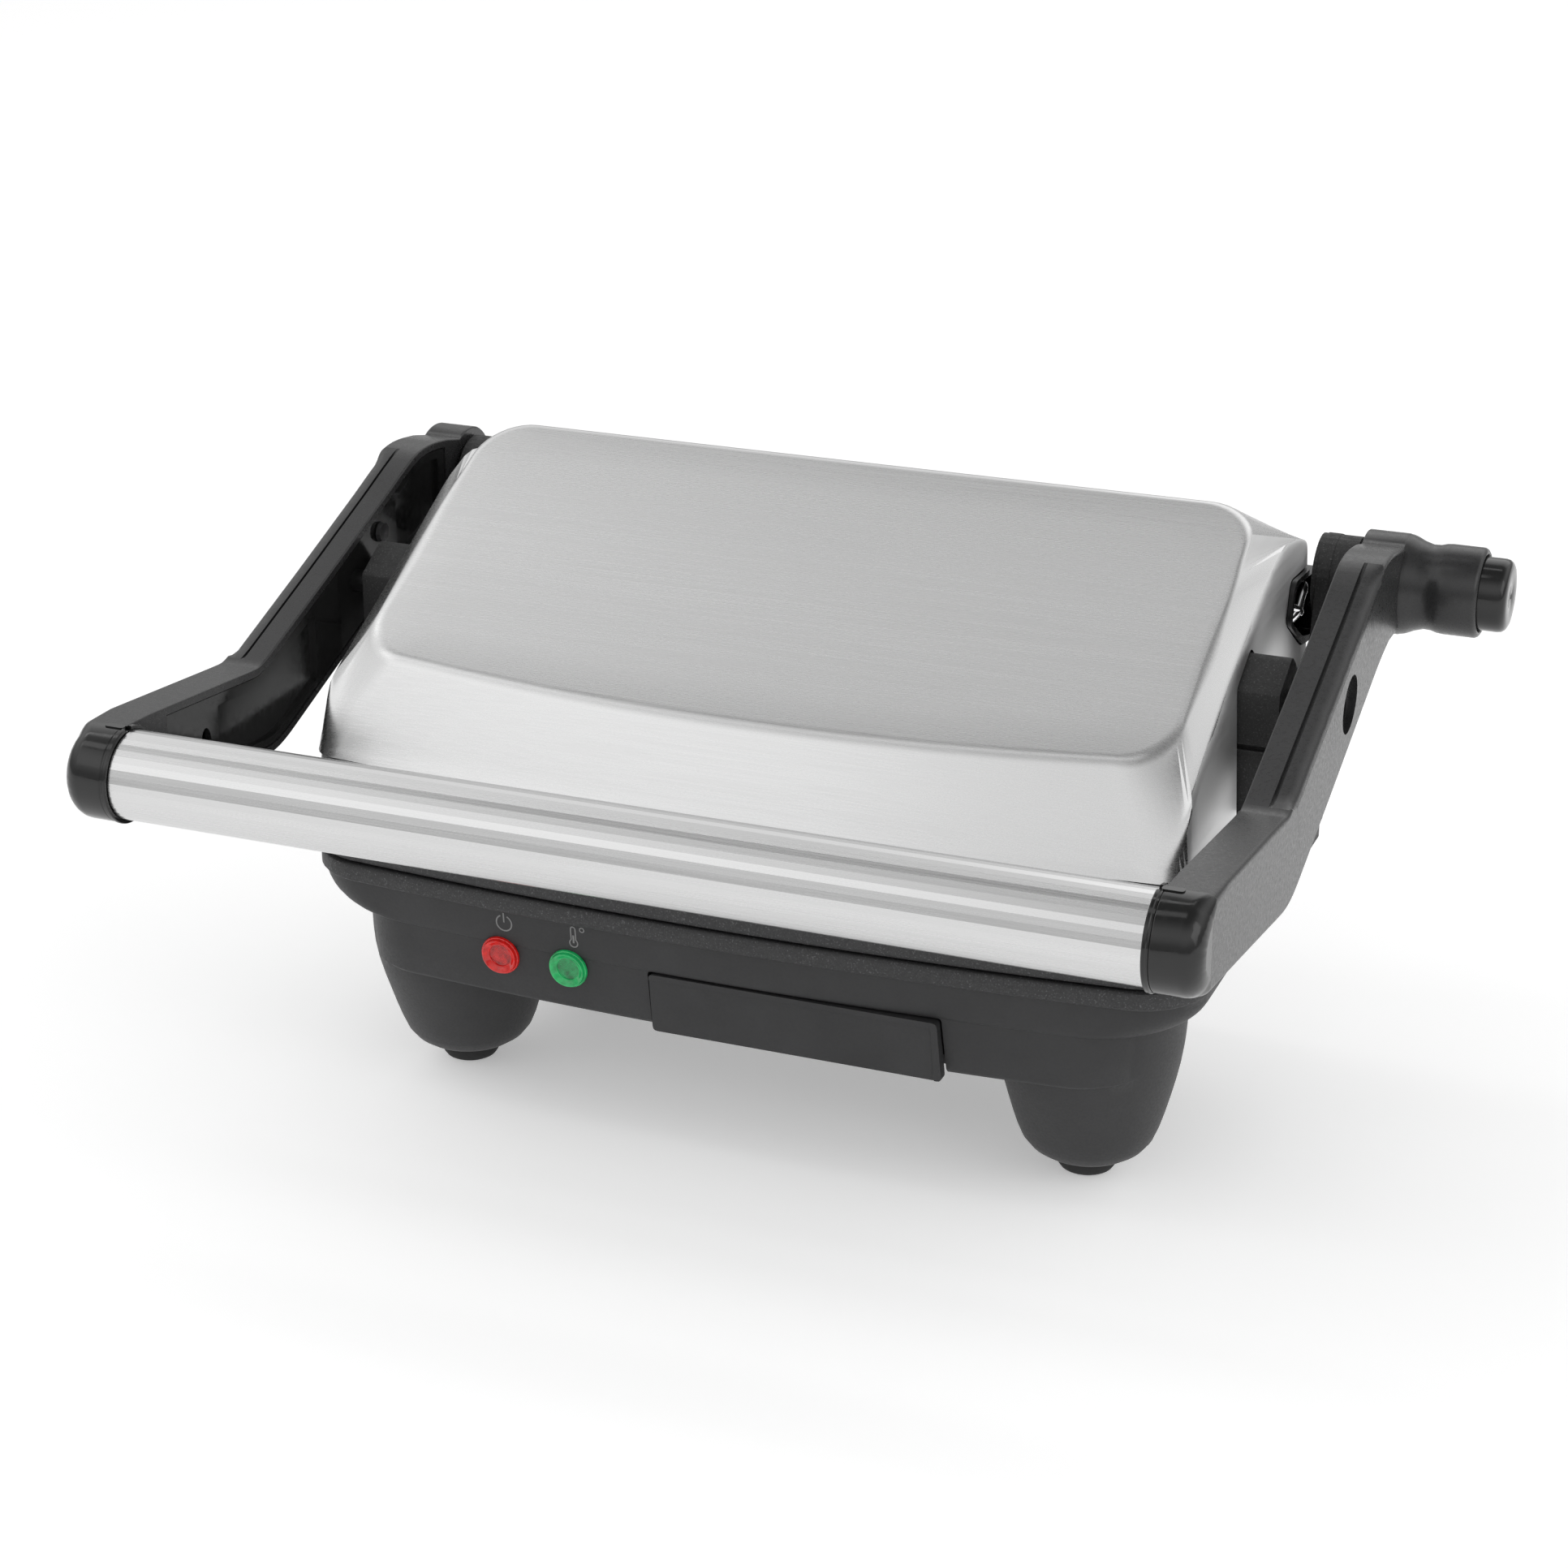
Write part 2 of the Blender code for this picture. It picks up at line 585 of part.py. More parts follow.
def build_arm(side, name):
    low, high = mirrored(side, ARM_INNER, ARM_OUTER)
    arm = finish(bevel(plate(name + "_arm", arm_outline(), low, high), 1.6, 2, 60), SATIN, ARMS)
    outward = (side, 0, 0)
    cap = [(0, 13.2), (8.4, 13.2), (10.6, 12.3), (12.0, 10.4), (CAP_RADIUS, 8.0), (CAP_RADIUS, 0), (0, 0)]
    join(arm, turned(name + "_cap", cap, (side * (BAR_HALF_LENGTH + GAP), 0, BAR_HEIGHT), outward, 32))
    if side > 0:
        barrel = [(0, BARREL_END), (BARREL_RADIUS - 1.2, BARREL_END), (BARREL_RADIUS, BARREL_END - 1.2)]
        barrel += [(BARREL_RADIUS, 152.5), (11.2, 149.0), (11.0, 145.5), (12.4, 142.0), (12.4, 140.0), (0, 140.0)]
        join(arm, turned("barrel", barrel, (0, *HINGE.yz), outward, 32))
        cut(arm, rod("barrel_bore", (BORE_END, *HINGE.yz), (BARREL_END + 5, *HINGE.yz), BUTTON_RADIUS + 0.4, 28))
    for start, end in ((34.0, 114.0), (140.0, 171.0)):
        pocket_low, pocket_high = mirrored(side, ARM_INNER - 2, ARM_OUTER - 2.6)
        cut(arm, plate("pocket", arm_band(start, end, 4.2), pocket_low, pocket_high))
    rebate_low, rebate_high = mirrored(side, ARM_INNER - 2, ARM_INNER + 2.4)
    cut(arm, plate("rebate", arm_band(19.7, 174.3, 2.2), rebate_low, rebate_high))
    cut(arm, rod("hinge_bore", (side * 125, *HINGE.yz), (side * (ARM_OUTER - 3), *HINGE.yz), 4.3))
    cut(arm, rod("pivot_bore", (side * 125, *PIVOT.yz), (side * (ARM_OUTER + 2), *PIVOT.yz), 3.4, 16))
    for y, z in ARM_SCREWS:
        cut(arm, rod("arm_screw_hole", (side * 130, y, z), (side * 140, y, z), 1.7, 12))


def build_arm_cover(side, name):
    """The inner cover of an arm, held by two screws and pierced by the pivot pin."""
    low, high = mirrored(side, ARM_INNER + 0.2, ARM_INNER + 2.1)
    cover = finish(plate(name + "_arm_cover", arm_band(20.0, 174.0, 2.5), low, high), SATIN, ARMS)
    cut(cover, rod("pivot_clearance", (side * 125, *PIVOT.yz), (side * 140, *PIVOT.yz), 3.4, 16))
    for place, (y, z) in zip(("front", "rear"), ARM_SCREWS):
        cut(cover, rod("cover_clearance", (side * 130, y, z), (side * 140, y, z), 1.7, 12))
        profile = [(0, 8.4), (1.3, 8.4), (1.3, 1.2), (2.9, 1.2), (2.6, 0.0), (0, -0.2)]
        screw = turned(f"{name}_arm_screw_{place}", profile, (side * (ARM_INNER - 1.3), y, z), (side, 0, 0), 12)
        finish(screw, STEEL_PARTS, ARMS)


def build_handle():
    sleeve = BAR_HALF_LENGTH
    start, end = (-sleeve, 0, BAR_HEIGHT), (sleeve, 0, BAR_HEIGHT)
    finish(tube_ring("handle_bar", BAR_RADIUS, BAR_RADIUS - 1.0, start, end, 40), STEEL_BAR, ARMS)
    finish(rod("handle_core", start, end, BAR_RADIUS - 1.4, 24), SATIN, ARMS)


def build_button():
    """The lock release: a cap that slides in the barrel against a coil spring."""
    cap = [(0, BUTTON_END - 0.8), (1.1, BUTTON_END - 0.8), (1.3, BUTTON_END), (7.9, BUTTON_END)]
    cap += [(9.2, BUTTON_END - 0.7), (BUTTON_RADIUS, BUTTON_END - 2.2), (BUTTON_RADIUS, BUTTON_HOME + 4)]
    cap += [(9.3, BUTTON_HOME + 4), (9.3, BUTTON_HOME), (0, BUTTON_HOME)]
    finish(turned("release_button", cap, (0, *HINGE.yz), (1, 0, 0), 32), SATIN, BUTTON)
    coil = helix(HINGE.yz, 6.0, BORE_END + 0.8, BUTTON_HOME - 0.8, 3, "X", 16)
    finish(wire("button_spring", coil, 0.45), STEEL_PARTS, ARMS)


# Lid

def lid_top(y):
    """The height of the cover's flat top at a distance back."""
    slope = (CREASE_REAR_HEIGHT - CREASE_FRONT_HEIGHT) / (CREASE_REAR - CREASE_FRONT)
    return CREASE_FRONT_HEIGHT + slope * (y - CREASE_FRONT)


def lid_rings(inset, lower_edge):
    """The steel cover's skin: level lower edge, near-vertical sides, a bevelled shoulder and a
    tilted top with a soft crease."""
    front, rear = 62.8, 192.6
    shoulder = [(0.0, 97.6), (front + FRONT_BOW, 98.4), (77.0, lid_top(77.0) - 6.4)]
    shoulder += [(148.0, lid_top(148.0) - 6.4), (CREASE_REAR, 152.8), (176.0, 150.2), (rear, 143.8)]
    lower = plan_ring(119.0 - inset, 60.8 + inset, 194.0 - inset, 8.0 - inset, lower_edge)
    level = plan_ring(117.3 - inset, front + inset, rear - inset, 9.0 - inset, 0.0)
    rings = [lower, [(x, y, height_on(shoulder, y) - inset * 0.7) for x, y, z in level]]
    tilt = lid_top(1.0) - lid_top(0.0)
    for half_width, back, drop in ((111.0, -1.5, 2.0), (110.0, -0.4, 0.9), (108.6, 1.0, 0.4), (106.0, 3.5, 0.0)):
        edge = CREASE_FRONT + back
        ring = (half_width - inset, edge + inset, CREASE_REAR - back * 0.9 - inset, 13.0 - inset)
        rings.append(plan_ring(*ring, lid_top(edge) - drop - inset * 0.7, tilt))
    return rings


def slot_outline(margin):
    """The rear side slot: a rounded four-sided hole with a rising top edge."""
    corners = [(162.0, 130.5), (166.0, 141.0), (189.5, 139.0), (189.5, 118.0), (178.5, 119.5)]
    middle_y = sum(y for y, z in corners) / len(corners)
    middle_z = sum(z for y, z in corners) / len(corners)
    points = []
    for y, z in corners:
        reach = math.hypot(y - middle_y, z - middle_z)
        scale = 1 + margin / reach
        points.append((middle_y + (y - middle_y) * scale, middle_z + (z - middle_z) * scale))
    return points


def block_outline(margin):
    """The side view of a pivot block, or of its notch in the steel."""
    low, front, rear, top = STEEL_BOTTOM + 0.6, 116.0 - margin, 140.0 + margin, 134.2 + margin
    return [(front, low - 5 * margin), (rear, low - 5 * margin), (rear, 121.0 + margin), (131.5, 131.5 + margin),
            (128.0, top), (126.0, top - 0.5), (front, 128.2 + margin * 0.6)]


def build_lid_cover():
    cover = finish(loft("lid_cover", lid_rings(0, STEEL_BOTTOM)), BRUSHED, LID)
    cut(cover, loft("cover_hollow", lid_rings(STEEL, STEEL_BOTTOM - 6)))
    for side, name in ((-1, "left"), (1, "right")):
        low, high = mirrored(side, 98, 122)
        cut(cover, plate(name + "_block_notch", block_outline(1.0), low, high))
        cut(cover, plate(name + "_slot", slot_outline(GAP + 0.1), low, high))


def build_lid_frame():
    """The black ring under the steel cover, hollow for the upper plate."""
    wide = FRAME_HALF_WIDTH
    outer = [plan_ring(wide - 0.8, 59.4, 195.4, 19.0, LID_PARTING), plan_ring(wide, 58.8, 196.0, 19.0, 68.2)]
    outer += [plan_ring(wide - 0.6, 59.0, 195.6, 18.0, 76.0), plan_ring(wide - 3.2, 60.2, 195.0, 14.0, 87.0)]
    outer += [plan_ring(wide - 5.6, 60.9, 194.2, 9.0, STEEL_BOTTOM - GAP)]
    frame = finish(loft("lid_frame", outer), CASING, LID)
    inner = [plan_ring(117.4, 61.8, 192.6, 14.5, 62.0), plan_ring(117.4, 61.8, 192.6, 14.0, 76.0)]
    inner += [plan_ring(117.0, 63.0, 192.2, 11.0, 87.0), plan_ring(114.6, 64.6, 190.6, 8.0, 100.0)]
    cut(frame, loft("frame_hollow", inner))
    for side in (-1, 1):
        low, high = mirrored(side, BOSS_INNER - 0.7, 140)
        cut(frame, box("post_notch", (low, 168.5, 60), (high, 210, 100)))


def build_lid_insides():
    ridged_plate("upper_grill_plate", UPPER_HALF_WIDTH, LID_PARTING + RIDGE_HEIGHT, -1, LID)
    build_heater("upper_heating_element", 75.6, 2.6, 1)
    sheet_pan("upper_heat_shield", 80.4, -3.4, LID)
    for side, name in ((-1, "left"), (1, "right")):
        low, high = mirrored(side, 110.0, 128.0)
        block = plate(name + "_pivot_block", block_outline(0.0), low, high)
        finish(bevel(block, 1.2, 2), TEXTURED, LID)
        cut(block, rod("pivot_hole", (side * 114, *PIVOT.yz), (side * 132, *PIVOT.yz), PIVOT_PIN_RADIUS + 0.4, 16))
        start, end = side * 116.0, side * (ARM_OUTER - 4.5)
        pin = rod(name + "_pivot_pin", (start, *PIVOT.yz), (end, *PIVOT.yz), PIVOT_PIN_RADIUS, 16)
        finish(pin, STEEL_PARTS, ARMS)
        low, high = mirrored(side, 112.6, 118.9)
        bezel = finish(plate(name + "_slot_bezel", slot_outline(-0.1), low, high), SATIN, LID)
        cut(bezel, plate("bezel_opening", slot_outline(-3.2), *mirrored(side, 105, 122)))
        coil = helix((side * 107.6, 178.0), 3.4, 120.0, 138.0, 5)
        finish(wire(name + "_balance_spring", coil, 0.8), CHROME, LID)


for old in list(bpy.data.objects):
    bpy.data.objects.remove(old)

PARTS = new_collection("panini_press")
CUTTERS = new_collection("cutters")

CASING = new_material("matte_casing_plastic", (0.045, 0.045, 0.046), 0.55)
TEXTURED = new_material("textured_plastic", (0.04, 0.04, 0.04), 0.7)
SATIN = new_material("satin_black_plastic", (0.02, 0.02, 0.021), 0.32)
BRUSHED = new_material("brushed_steel", (0.62, 0.62, 0.62), 0.35, 1.0)
STEEL_BAR = new_material("polished_bar_steel", (0.75, 0.75, 0.75), 0.22, 1.0)
CHROME = new_material("chrome", (0.8, 0.8, 0.8), 0.08, 1.0)
STEEL_PARTS = new_material("zinc_steel", (0.5, 0.5, 0.5), 0.4, 1.0)
SHEET = new_material("aluminised_sheet", (0.6, 0.6, 0.6), 0.45, 1.0)
CAST = new_material("coated_casting", (0.03, 0.03, 0.03), 0.45)
HEATER = new_material("heater_sheath", (0.25, 0.24, 0.23), 0.5, 1.0)
RUBBER = new_material("rubber", (0.03, 0.03, 0.03), 0.85)
CERAMIC = new_material("ceramic", (0.75, 0.73, 0.68), 0.6)
GLASS = new_material("lamp_glass", (0.9, 0.6, 0.4), 0.1)
RED_LENS = new_material("red_lens", (0.75, 0.02, 0.01), 0.2)
GREEN_LENS = new_material("green_lens", (0.01, 0.5, 0.16), 0.2)

PRESS = new_empty("press_origin", (-MIDDLE_X, -MIDDLE_Y, 0))
ARMS = new_empty("arms_axis", HINGE, PRESS)
LID = new_empty("lid_axis", PIVOT, PRESS)
BUTTON = new_empty("button_axis", (BUTTON_HOME, *HINGE.yz), PRESS)
TRAY = new_empty("tray_axis", ((TRAY_LEFT + TRAY_RIGHT) / 2, TRAY_FRONT, TRAY_BOTTOM), PRESS)

build_base()
build_bottom_cover()
build_lamp("power", RED_LENS)
build_lamp("ready", GREEN_LENS)
build_base_insides()
build_posts()
build_drip_tray()
for arm_side, arm_name in ((-1, "left"), (1, "right")):
    build_arm(arm_side, arm_name)
    build_arm_cover(arm_side, arm_name)
build_handle()
build_button()
build_lid_cover()
build_lid_frame()
build_lid_insides()
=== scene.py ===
"""Looks of the panini press: fine skins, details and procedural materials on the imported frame."""
import json
import math

import bmesh
import bpy
from mathutils import Matrix, Vector


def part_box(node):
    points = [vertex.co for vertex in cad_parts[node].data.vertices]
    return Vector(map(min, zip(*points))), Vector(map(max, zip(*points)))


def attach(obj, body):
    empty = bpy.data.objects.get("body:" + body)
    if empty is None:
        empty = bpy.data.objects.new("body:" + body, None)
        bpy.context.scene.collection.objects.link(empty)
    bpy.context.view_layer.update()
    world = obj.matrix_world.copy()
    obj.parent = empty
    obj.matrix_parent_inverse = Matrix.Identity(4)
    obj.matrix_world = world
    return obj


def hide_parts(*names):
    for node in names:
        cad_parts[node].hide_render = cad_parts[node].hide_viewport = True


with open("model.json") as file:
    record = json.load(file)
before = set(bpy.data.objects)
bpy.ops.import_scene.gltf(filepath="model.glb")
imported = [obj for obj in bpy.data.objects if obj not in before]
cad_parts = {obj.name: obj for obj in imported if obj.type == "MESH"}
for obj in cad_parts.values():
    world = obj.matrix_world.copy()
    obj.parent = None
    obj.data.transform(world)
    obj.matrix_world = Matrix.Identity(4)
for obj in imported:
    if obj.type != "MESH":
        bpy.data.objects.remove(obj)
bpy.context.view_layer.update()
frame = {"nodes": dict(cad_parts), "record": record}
NODES = frame["nodes"]
SCENE = bpy.context.scene

# The press's own coordinates are millimetres: X from the middle of the handle bar, Y back from
# its axis, Z up from the table. ORIGIN is their zero in the row frame.
MM = 0.001
BAR_LOW, BAR_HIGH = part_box("handle_bar")
BAR = (BAR_LOW + BAR_HIGH) / 2
BAR_HEIGHT = 112.0
ORIGIN = BAR - Vector((0, 0, BAR_HEIGHT * MM))
TO_ROW = Matrix.Translation(ORIGIN) @ Matrix.Scale(MM, 4)

HINGE = Vector((0.0, 190.0, 136.0))
PIVOT = Vector((0.0, 127.0, 122.0))
SIDES = ((-1, "left"), (1, "right"))
UP, BACKWARD = (0, 0, 1), (0, 1, 0)
SLOTS = {row["node"]: row["material_slot"] for row in frame["record"]["subparts"]}


# ---------------------------------------------------------------- materials

MIDDLE = (0.3, 0.7)     # the part of a noise's range that a look is spread over


def grey(level):
    return (level, level, level)


def shade(colour, factor):
    """A colour made darker or lighter."""
    return tuple(min(1.0, c * factor) for c in colour)


def fill_ramp(ramp, stops):
    """Set a colour ramp from (position, colour) pairs."""
    elements = ramp.color_ramp.elements
    while len(elements) < len(stops):
        elements.new(1.0)
    for element, (position, colour) in zip(elements, stops):
        element.position = position
        element.color = (*colour, 1.0)


class Nodes:
    """A small helper that writes a material's node tree."""

    def __init__(self, name, colour, roughness, metallic=0.0):
        self.material = bpy.data.materials.new(name)
        self.material.use_nodes = True
        self.tree = self.material.node_tree
        self.shader = self.tree.nodes["Principled BSDF"]
        self.set("Base Color", (*colour, 1.0))
        self.set("Roughness", roughness)
        self.set("Metallic", metallic)
        self.material.diffuse_color = (*colour, 1.0)

    def set(self, socket, value):
        self.shader.inputs[socket].default_value = value

    def add(self, kind, inputs=(), **settings):
        """A new node with its sockets' values and its settings."""
        node = self.tree.nodes.new(kind)
        for socket, value in dict(inputs).items():
            node.inputs[socket].default_value = value
        for key, value in settings.items():
            setattr(node, key, value)
        return node

    def link(self, source, target):
        self.tree.links.new(source, target)

    def feed(self, source, socket):
        """Link a value to a socket of the shader."""
        self.link(source, self.shader.inputs[socket])

    def place(self, scale=(1, 1, 1), turn=(0, 0, 0)):
        """Object coordinates, turned and stretched."""
        place = self.add("ShaderNodeTexCoord")
        turns = [math.radians(a) for a in turn]
        mapping = self.add("ShaderNodeMapping", {"Scale": scale, "Rotation": turns})
        self.link(place.outputs["Object"], mapping.inputs["Vector"])
        return mapping.outputs["Vector"]

    def noise(self, vector, scale, detail=3.0, roughness=0.55):
        node = self.add("ShaderNodeTexNoise", {"Scale": scale, "Detail": detail, "Roughness": roughness})
        self.link(vector, node.inputs["Vector"])
        return node.outputs["Fac"]

    def tone(self, value, stops):
        """Colour the surface by a value."""
        node = self.add("ShaderNodeValToRGB")
        fill_ramp(node, stops)
        self.link(value, node.inputs["Fac"])
        self.feed(node.outputs["Color"], "Base Color")

    def spread(self, value, low, high):
        """The middle of a noise's range, mapped to low and high."""
        node = self.add("ShaderNodeMapRange", {"From Min": MIDDLE[0], "From Max": MIDDLE[1],
                                               "To Min": low, "To Max": high})
        self.link(value, node.inputs["Value"])
        return node.outputs["Result"]

    def gloss(self, value, low, high):
        """Vary the roughness by a value."""
        self.feed(self.spread(value, low, high), "Roughness")

    def bump(self, value, strength, distance):
        node = self.add("ShaderNodeBump", {"Strength": strength, "Distance": distance})
        self.link(value, node.inputs["Height"])
        self.feed(node.outputs["Normal"], "Normal")


def grained_plastic(name, colour, roughness, grain, depth, specular=0.35, variation=0.12):
    """Moulded plastic: fine grain, slight patchiness in tone and in gloss."""
    m = Nodes(name, colour, roughness)
    m.set("Specular IOR Level", specular)
    where = m.place()
    fine = m.noise(where, grain, detail=2.0)
    patch = m.noise(where, scale=45.0)
    m.tone(patch, [(0.3, shade(colour, 1 - variation)), (0.7, shade(colour, 1 + variation))])
    m.gloss(fine, roughness - 0.06, roughness + 0.06)
    m.bump(fine, strength=0.35, distance=depth)
    return m.material


def speckled_plastic_painted_glints(name, colour, roughness):
    """Matte plastic with a fine grain: darker specks of its own tone, and small bright points painted into its colour
    as painted glints where the grain catches the light.
    """
    m = Nodes(name, colour, roughness)
    m.set("Specular IOR Level", 0.4)
    where = m.place()
    fine = m.noise(where, scale=2300.0, detail=1.0)
    coarse = m.noise(where, scale=800.0, detail=2.0)
    # the last stop, far lighter than the plastic, paints glints into the colour; the darker first stop is the grain's
    # own tone
    m.tone(fine, [(0.35, shade(colour, 0.75)), (0.62, colour), (0.74, shade(colour, 2.6))])
    m.gloss(coarse, roughness - 0.1, roughness + 0.1)
    m.bump(fine, strength=0.5, distance=0.00012)
    return m.material


def brushed_metal(name, colour, roughness, turn, streak, contrast, aniso=0.45):
    """Sheet metal brushed one way: long thin streaks in tone, gloss and height."""
    m = Nodes(name, colour, roughness, 1.0)
    m.set("Anisotropic", aniso)
    tangent = m.add("ShaderNodeTangent", direction_type="RADIAL", axis="X")
    m.feed(tangent.outputs["Tangent"], "Tangent")
    fine = m.noise(m.place(streak, turn), scale=1.0, detail=4.0, roughness=0.7)
    broad = m.noise(m.place((4, 30, 30), turn), scale=1.0, detail=2.0)
    mixed = m.add("ShaderNodeMath", {1: 0.75}, operation="MULTIPLY_ADD")
    m.link(fine, mixed.inputs[0])
    m.link(m.spread(broad, 0.05, 0.2), mixed.inputs[2])
    m.tone(mixed.outputs[0], [(0.32, shade(colour, 1 - contrast)), (0.68, shade(colour, 1 + contrast))])
    m.gloss(fine, roughness - 0.03, roughness + 0.05)
    m.bump(fine, strength=0.05, distance=0.00004)
    return m.material


def plain_metal(name, colour, roughness):
    """Bare or plated metal: fine grain and slightly duller patches."""
    m = Nodes(name, colour, roughness, 1.0)
    where = m.place()
    fine = m.noise(where, scale=900.0)
    patch = m.noise(where, scale=60.0)
    m.tone(patch, [(0.35, shade(colour, 0.82)), (0.65, colour)])
    m.gloss(fine, roughness - 0.05, roughness + 0.08)
    m.bump(fine, strength=0.15, distance=0.00004)
    return m.material


def lamp_lens(name, colour, deep, glow):
    """Tinted clear plastic over a lamp: deeper and lighter patches, sharp gloss."""
    m = Nodes(name, colour, 0.12)
    patches = m.noise(m.place(), scale=420.0, detail=2.0)
    m.tone(patches, [(0.35, deep), (0.65, colour)])
    m.set("Specular IOR Level", 0.5)
    m.set("Coat Weight", 0.25)
    m.set("Coat Roughness", 0.05)
    m.set("Emission Color", (*colour, 1.0))
    m.set("Emission Strength", glow)
    m.bump(patches, strength=0.15, distance=0.0001)
    return m.material


SHELL = brushed_metal("lid_brushed_steel", grey(0.66), 0.27, (0, 0, 0), (12, 2300, 2300), 0.028)
# the shell's sides: their own brushing direction and roughness, and a lighter copy of the same steel as painted light
# for the brighter light the sides catch
LIGHTER_SIDE_STEEL = brushed_metal("side_steel_painted_lighter", grey(0.74), 0.52, (33, 0, 0), (900, 22, 900), 0.025, 0.6)
BAR_STEEL = brushed_metal("bar_satin_steel", grey(0.66), 0.25, (0, 0, 0), (15, 2400, 2400), 0.03, 0.3)
CASING = grained_plastic("casing_matte_plastic", (0.033, 0.033, 0.034), 0.52, 1500.0, 0.00006)
SATIN = grained_plastic("arm_satin_plastic", (0.020, 0.020, 0.0205), 0.30, 900.0, 0.00003, 0.5)
GLOSS = grained_plastic("glossy_black_plastic", grey(0.010), 0.13, 500.0, 0.00002, 0.5)
TEXTURED = speckled_plastic_painted_glints("textured_black_plastic", grey(0.030), 0.62)
RIM = speckled_plastic_painted_glints("grained_rim_plastic", (0.040, 0.040, 0.041), 0.58)
RUBBER = grained_plastic("foot_rubber", grey(0.030), 0.75, 700.0, 0.0001, 0.25)
CASTING = speckled_plastic_painted_glints("coated_casting", (0.028, 0.028, 0.029), 0.42)
CHROME = plain_metal("chrome_wire", (0.85, 0.85, 0.86), 0.10)
ZINC = plain_metal("zinc_plated_steel", (0.52, 0.52, 0.53), 0.34)
# a dark steel for the arm screws in place of their zinc: painted shade for the dark recesses they sit in
SCREW_STEEL_PAINTED_DARK = plain_metal("screw_steel_painted_shade", (0.045, 0.045, 0.046), 0.36)
SHEET = plain_metal("aluminised_sheet", grey(0.60), 0.42)
SHEATH = plain_metal("heater_sheath", (0.24, 0.22, 0.21), 0.48)
CERAMIC = grained_plastic("ceramic_block", (0.72, 0.70, 0.64), 0.5, 600.0, 0.00005, 0.5, 0.05)
GLASS = grained_plastic("neon_lamp_glass", (0.85, 0.55, 0.38), 0.12, 300.0, 0.00002, 0.6, 0.08)
RED = lamp_lens("red_lens", (0.70, 0.012, 0.008), (0.42, 0.004, 0.004), 0.10)
GREEN = lamp_lens("green_lens", (0.015, 0.46, 0.13), (0.004, 0.26, 0.07), 0.08)
RED_CENTRE = lamp_lens("red_lens_centre", (0.60, 0.010, 0.008), (0.22, 0.002, 0.002), 0.05)
GREEN_CENTRE = lamp_lens("green_lens_centre", (0.010, 0.34, 0.10), (0.002, 0.13, 0.035), 0.04)
PRINT = grained_plastic("grey_print", grey(0.22), 0.5, 900.0, 0.00002, 0.3, 0.06)

SLOT_LOOKS = {
    "casing_plastic": CASING, "textured_plastic": TEXTURED, "satin_plastic": SATIN,
    "brushed_steel": SHELL, "bar_steel": BAR_STEEL, "chrome_wire": CHROME, "zinc_steel": ZINC,
    "aluminised_sheet": SHEET, "coated_casting": CASTING, "heater_sheath": SHEATH,
    "rubber_foot": RUBBER, "ceramic_block": CERAMIC, "lamp_glass": GLASS,
    "red_lens": RED, "green_lens": GREEN,
}


# ---------------------------------------------------------------- mesh tools

TINY = 0.001        # shorter lengths and radii count as nothing
BOW = 5.0           # how far the front edges bow back towards their corners
FRONT_STEPS, SIDE_STEPS, REAR_STEPS, CORNER_STEPS = 24, 22, 20, 10


def linked_object(name, mesh_data):
    """A new object in the scene from a bmesh in row metres."""
    mesh = bpy.data.meshes.new(name)
    mesh_data.to_mesh(mesh)
    mesh_data.free()
    obj = bpy.data.objects.new(name, mesh)
    SCENE.collection.objects.link(obj)
    return obj


def dress(obj, look, sharp):
    """Give an object one look, and smooth shading up to an angle."""
    obj.data.materials.clear()
    obj.data.materials.append(look)
    obj.data.shade_smooth()
    obj.data.set_sharp_from_angle(angle=math.radians(sharp))


def piece(name, mesh_data, body, slot, *replaced, look=None, sharp=35):
    """Turn a bmesh in press millimetres into a piece that rides on a body."""
    bmesh.ops.transform(mesh_data, matrix=TO_ROW, verts=mesh_data.verts)
    obj = linked_object(name, mesh_data)
    dress(obj, look or SLOT_LOOKS[slot], sharp)
    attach(obj, body)
    if replaced:
        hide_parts(*replaced)
    return obj


def second_look(obj, look, chosen):
    """Give the chosen faces of a piece another look."""
    obj.data.materials.append(look)
    for face in obj.data.polygons:
        if chosen(face):
            face.material_index = 1


def mirrored(side, low, high):
    """A range of X on the right, or its mirror image on the left."""
    return (low, high) if side > 0 else (-high, -low)


def corners(x0, y0, x1, y1):
    return [(x0, y0), (x1, y0), (x1, y1), (x0, y1)]


def full_turn(count):
    """Evenly spaced angles round a whole turn."""
    return [2 * math.pi * i / count for i in range(count)]


def arc(centre, radius, start, end, steps):
    turns = [math.radians(start + (end - start) * i / steps) for i in range(steps + 1)]
    return [(centre[0] + radius * math.cos(t), centre[1] + radius * math.sin(t)) for t in turns]


def height_on(edge, y):
    """The height of a line of (y, z) points at a distance back."""
    for (y0, z0), (y1, z1) in zip(edge, edge[1:]):
        if y0 <= y <= y1:
            return z0 + (z1 - z0) * (y - y0) / (y1 - y0)
    return edge[-1][1] if y > edge[-1][0] else edge[0][1]


def corner_curve(before, here, after, reach, steps, most=0.45):
    """A short curve in place of a corner, taking at most a share of each side."""
    down, up = before - here, after - here
    low = here + down * min(most, reach / max(down.length, TINY))
    high = here + up * min(most, reach / max(up.length, TINY))
    shares = [step / steps for step in range(steps + 1)]
    return [low * (1 - t) ** 2 + here * 2 * t * (1 - t) + high * t ** 2 for t in shares]


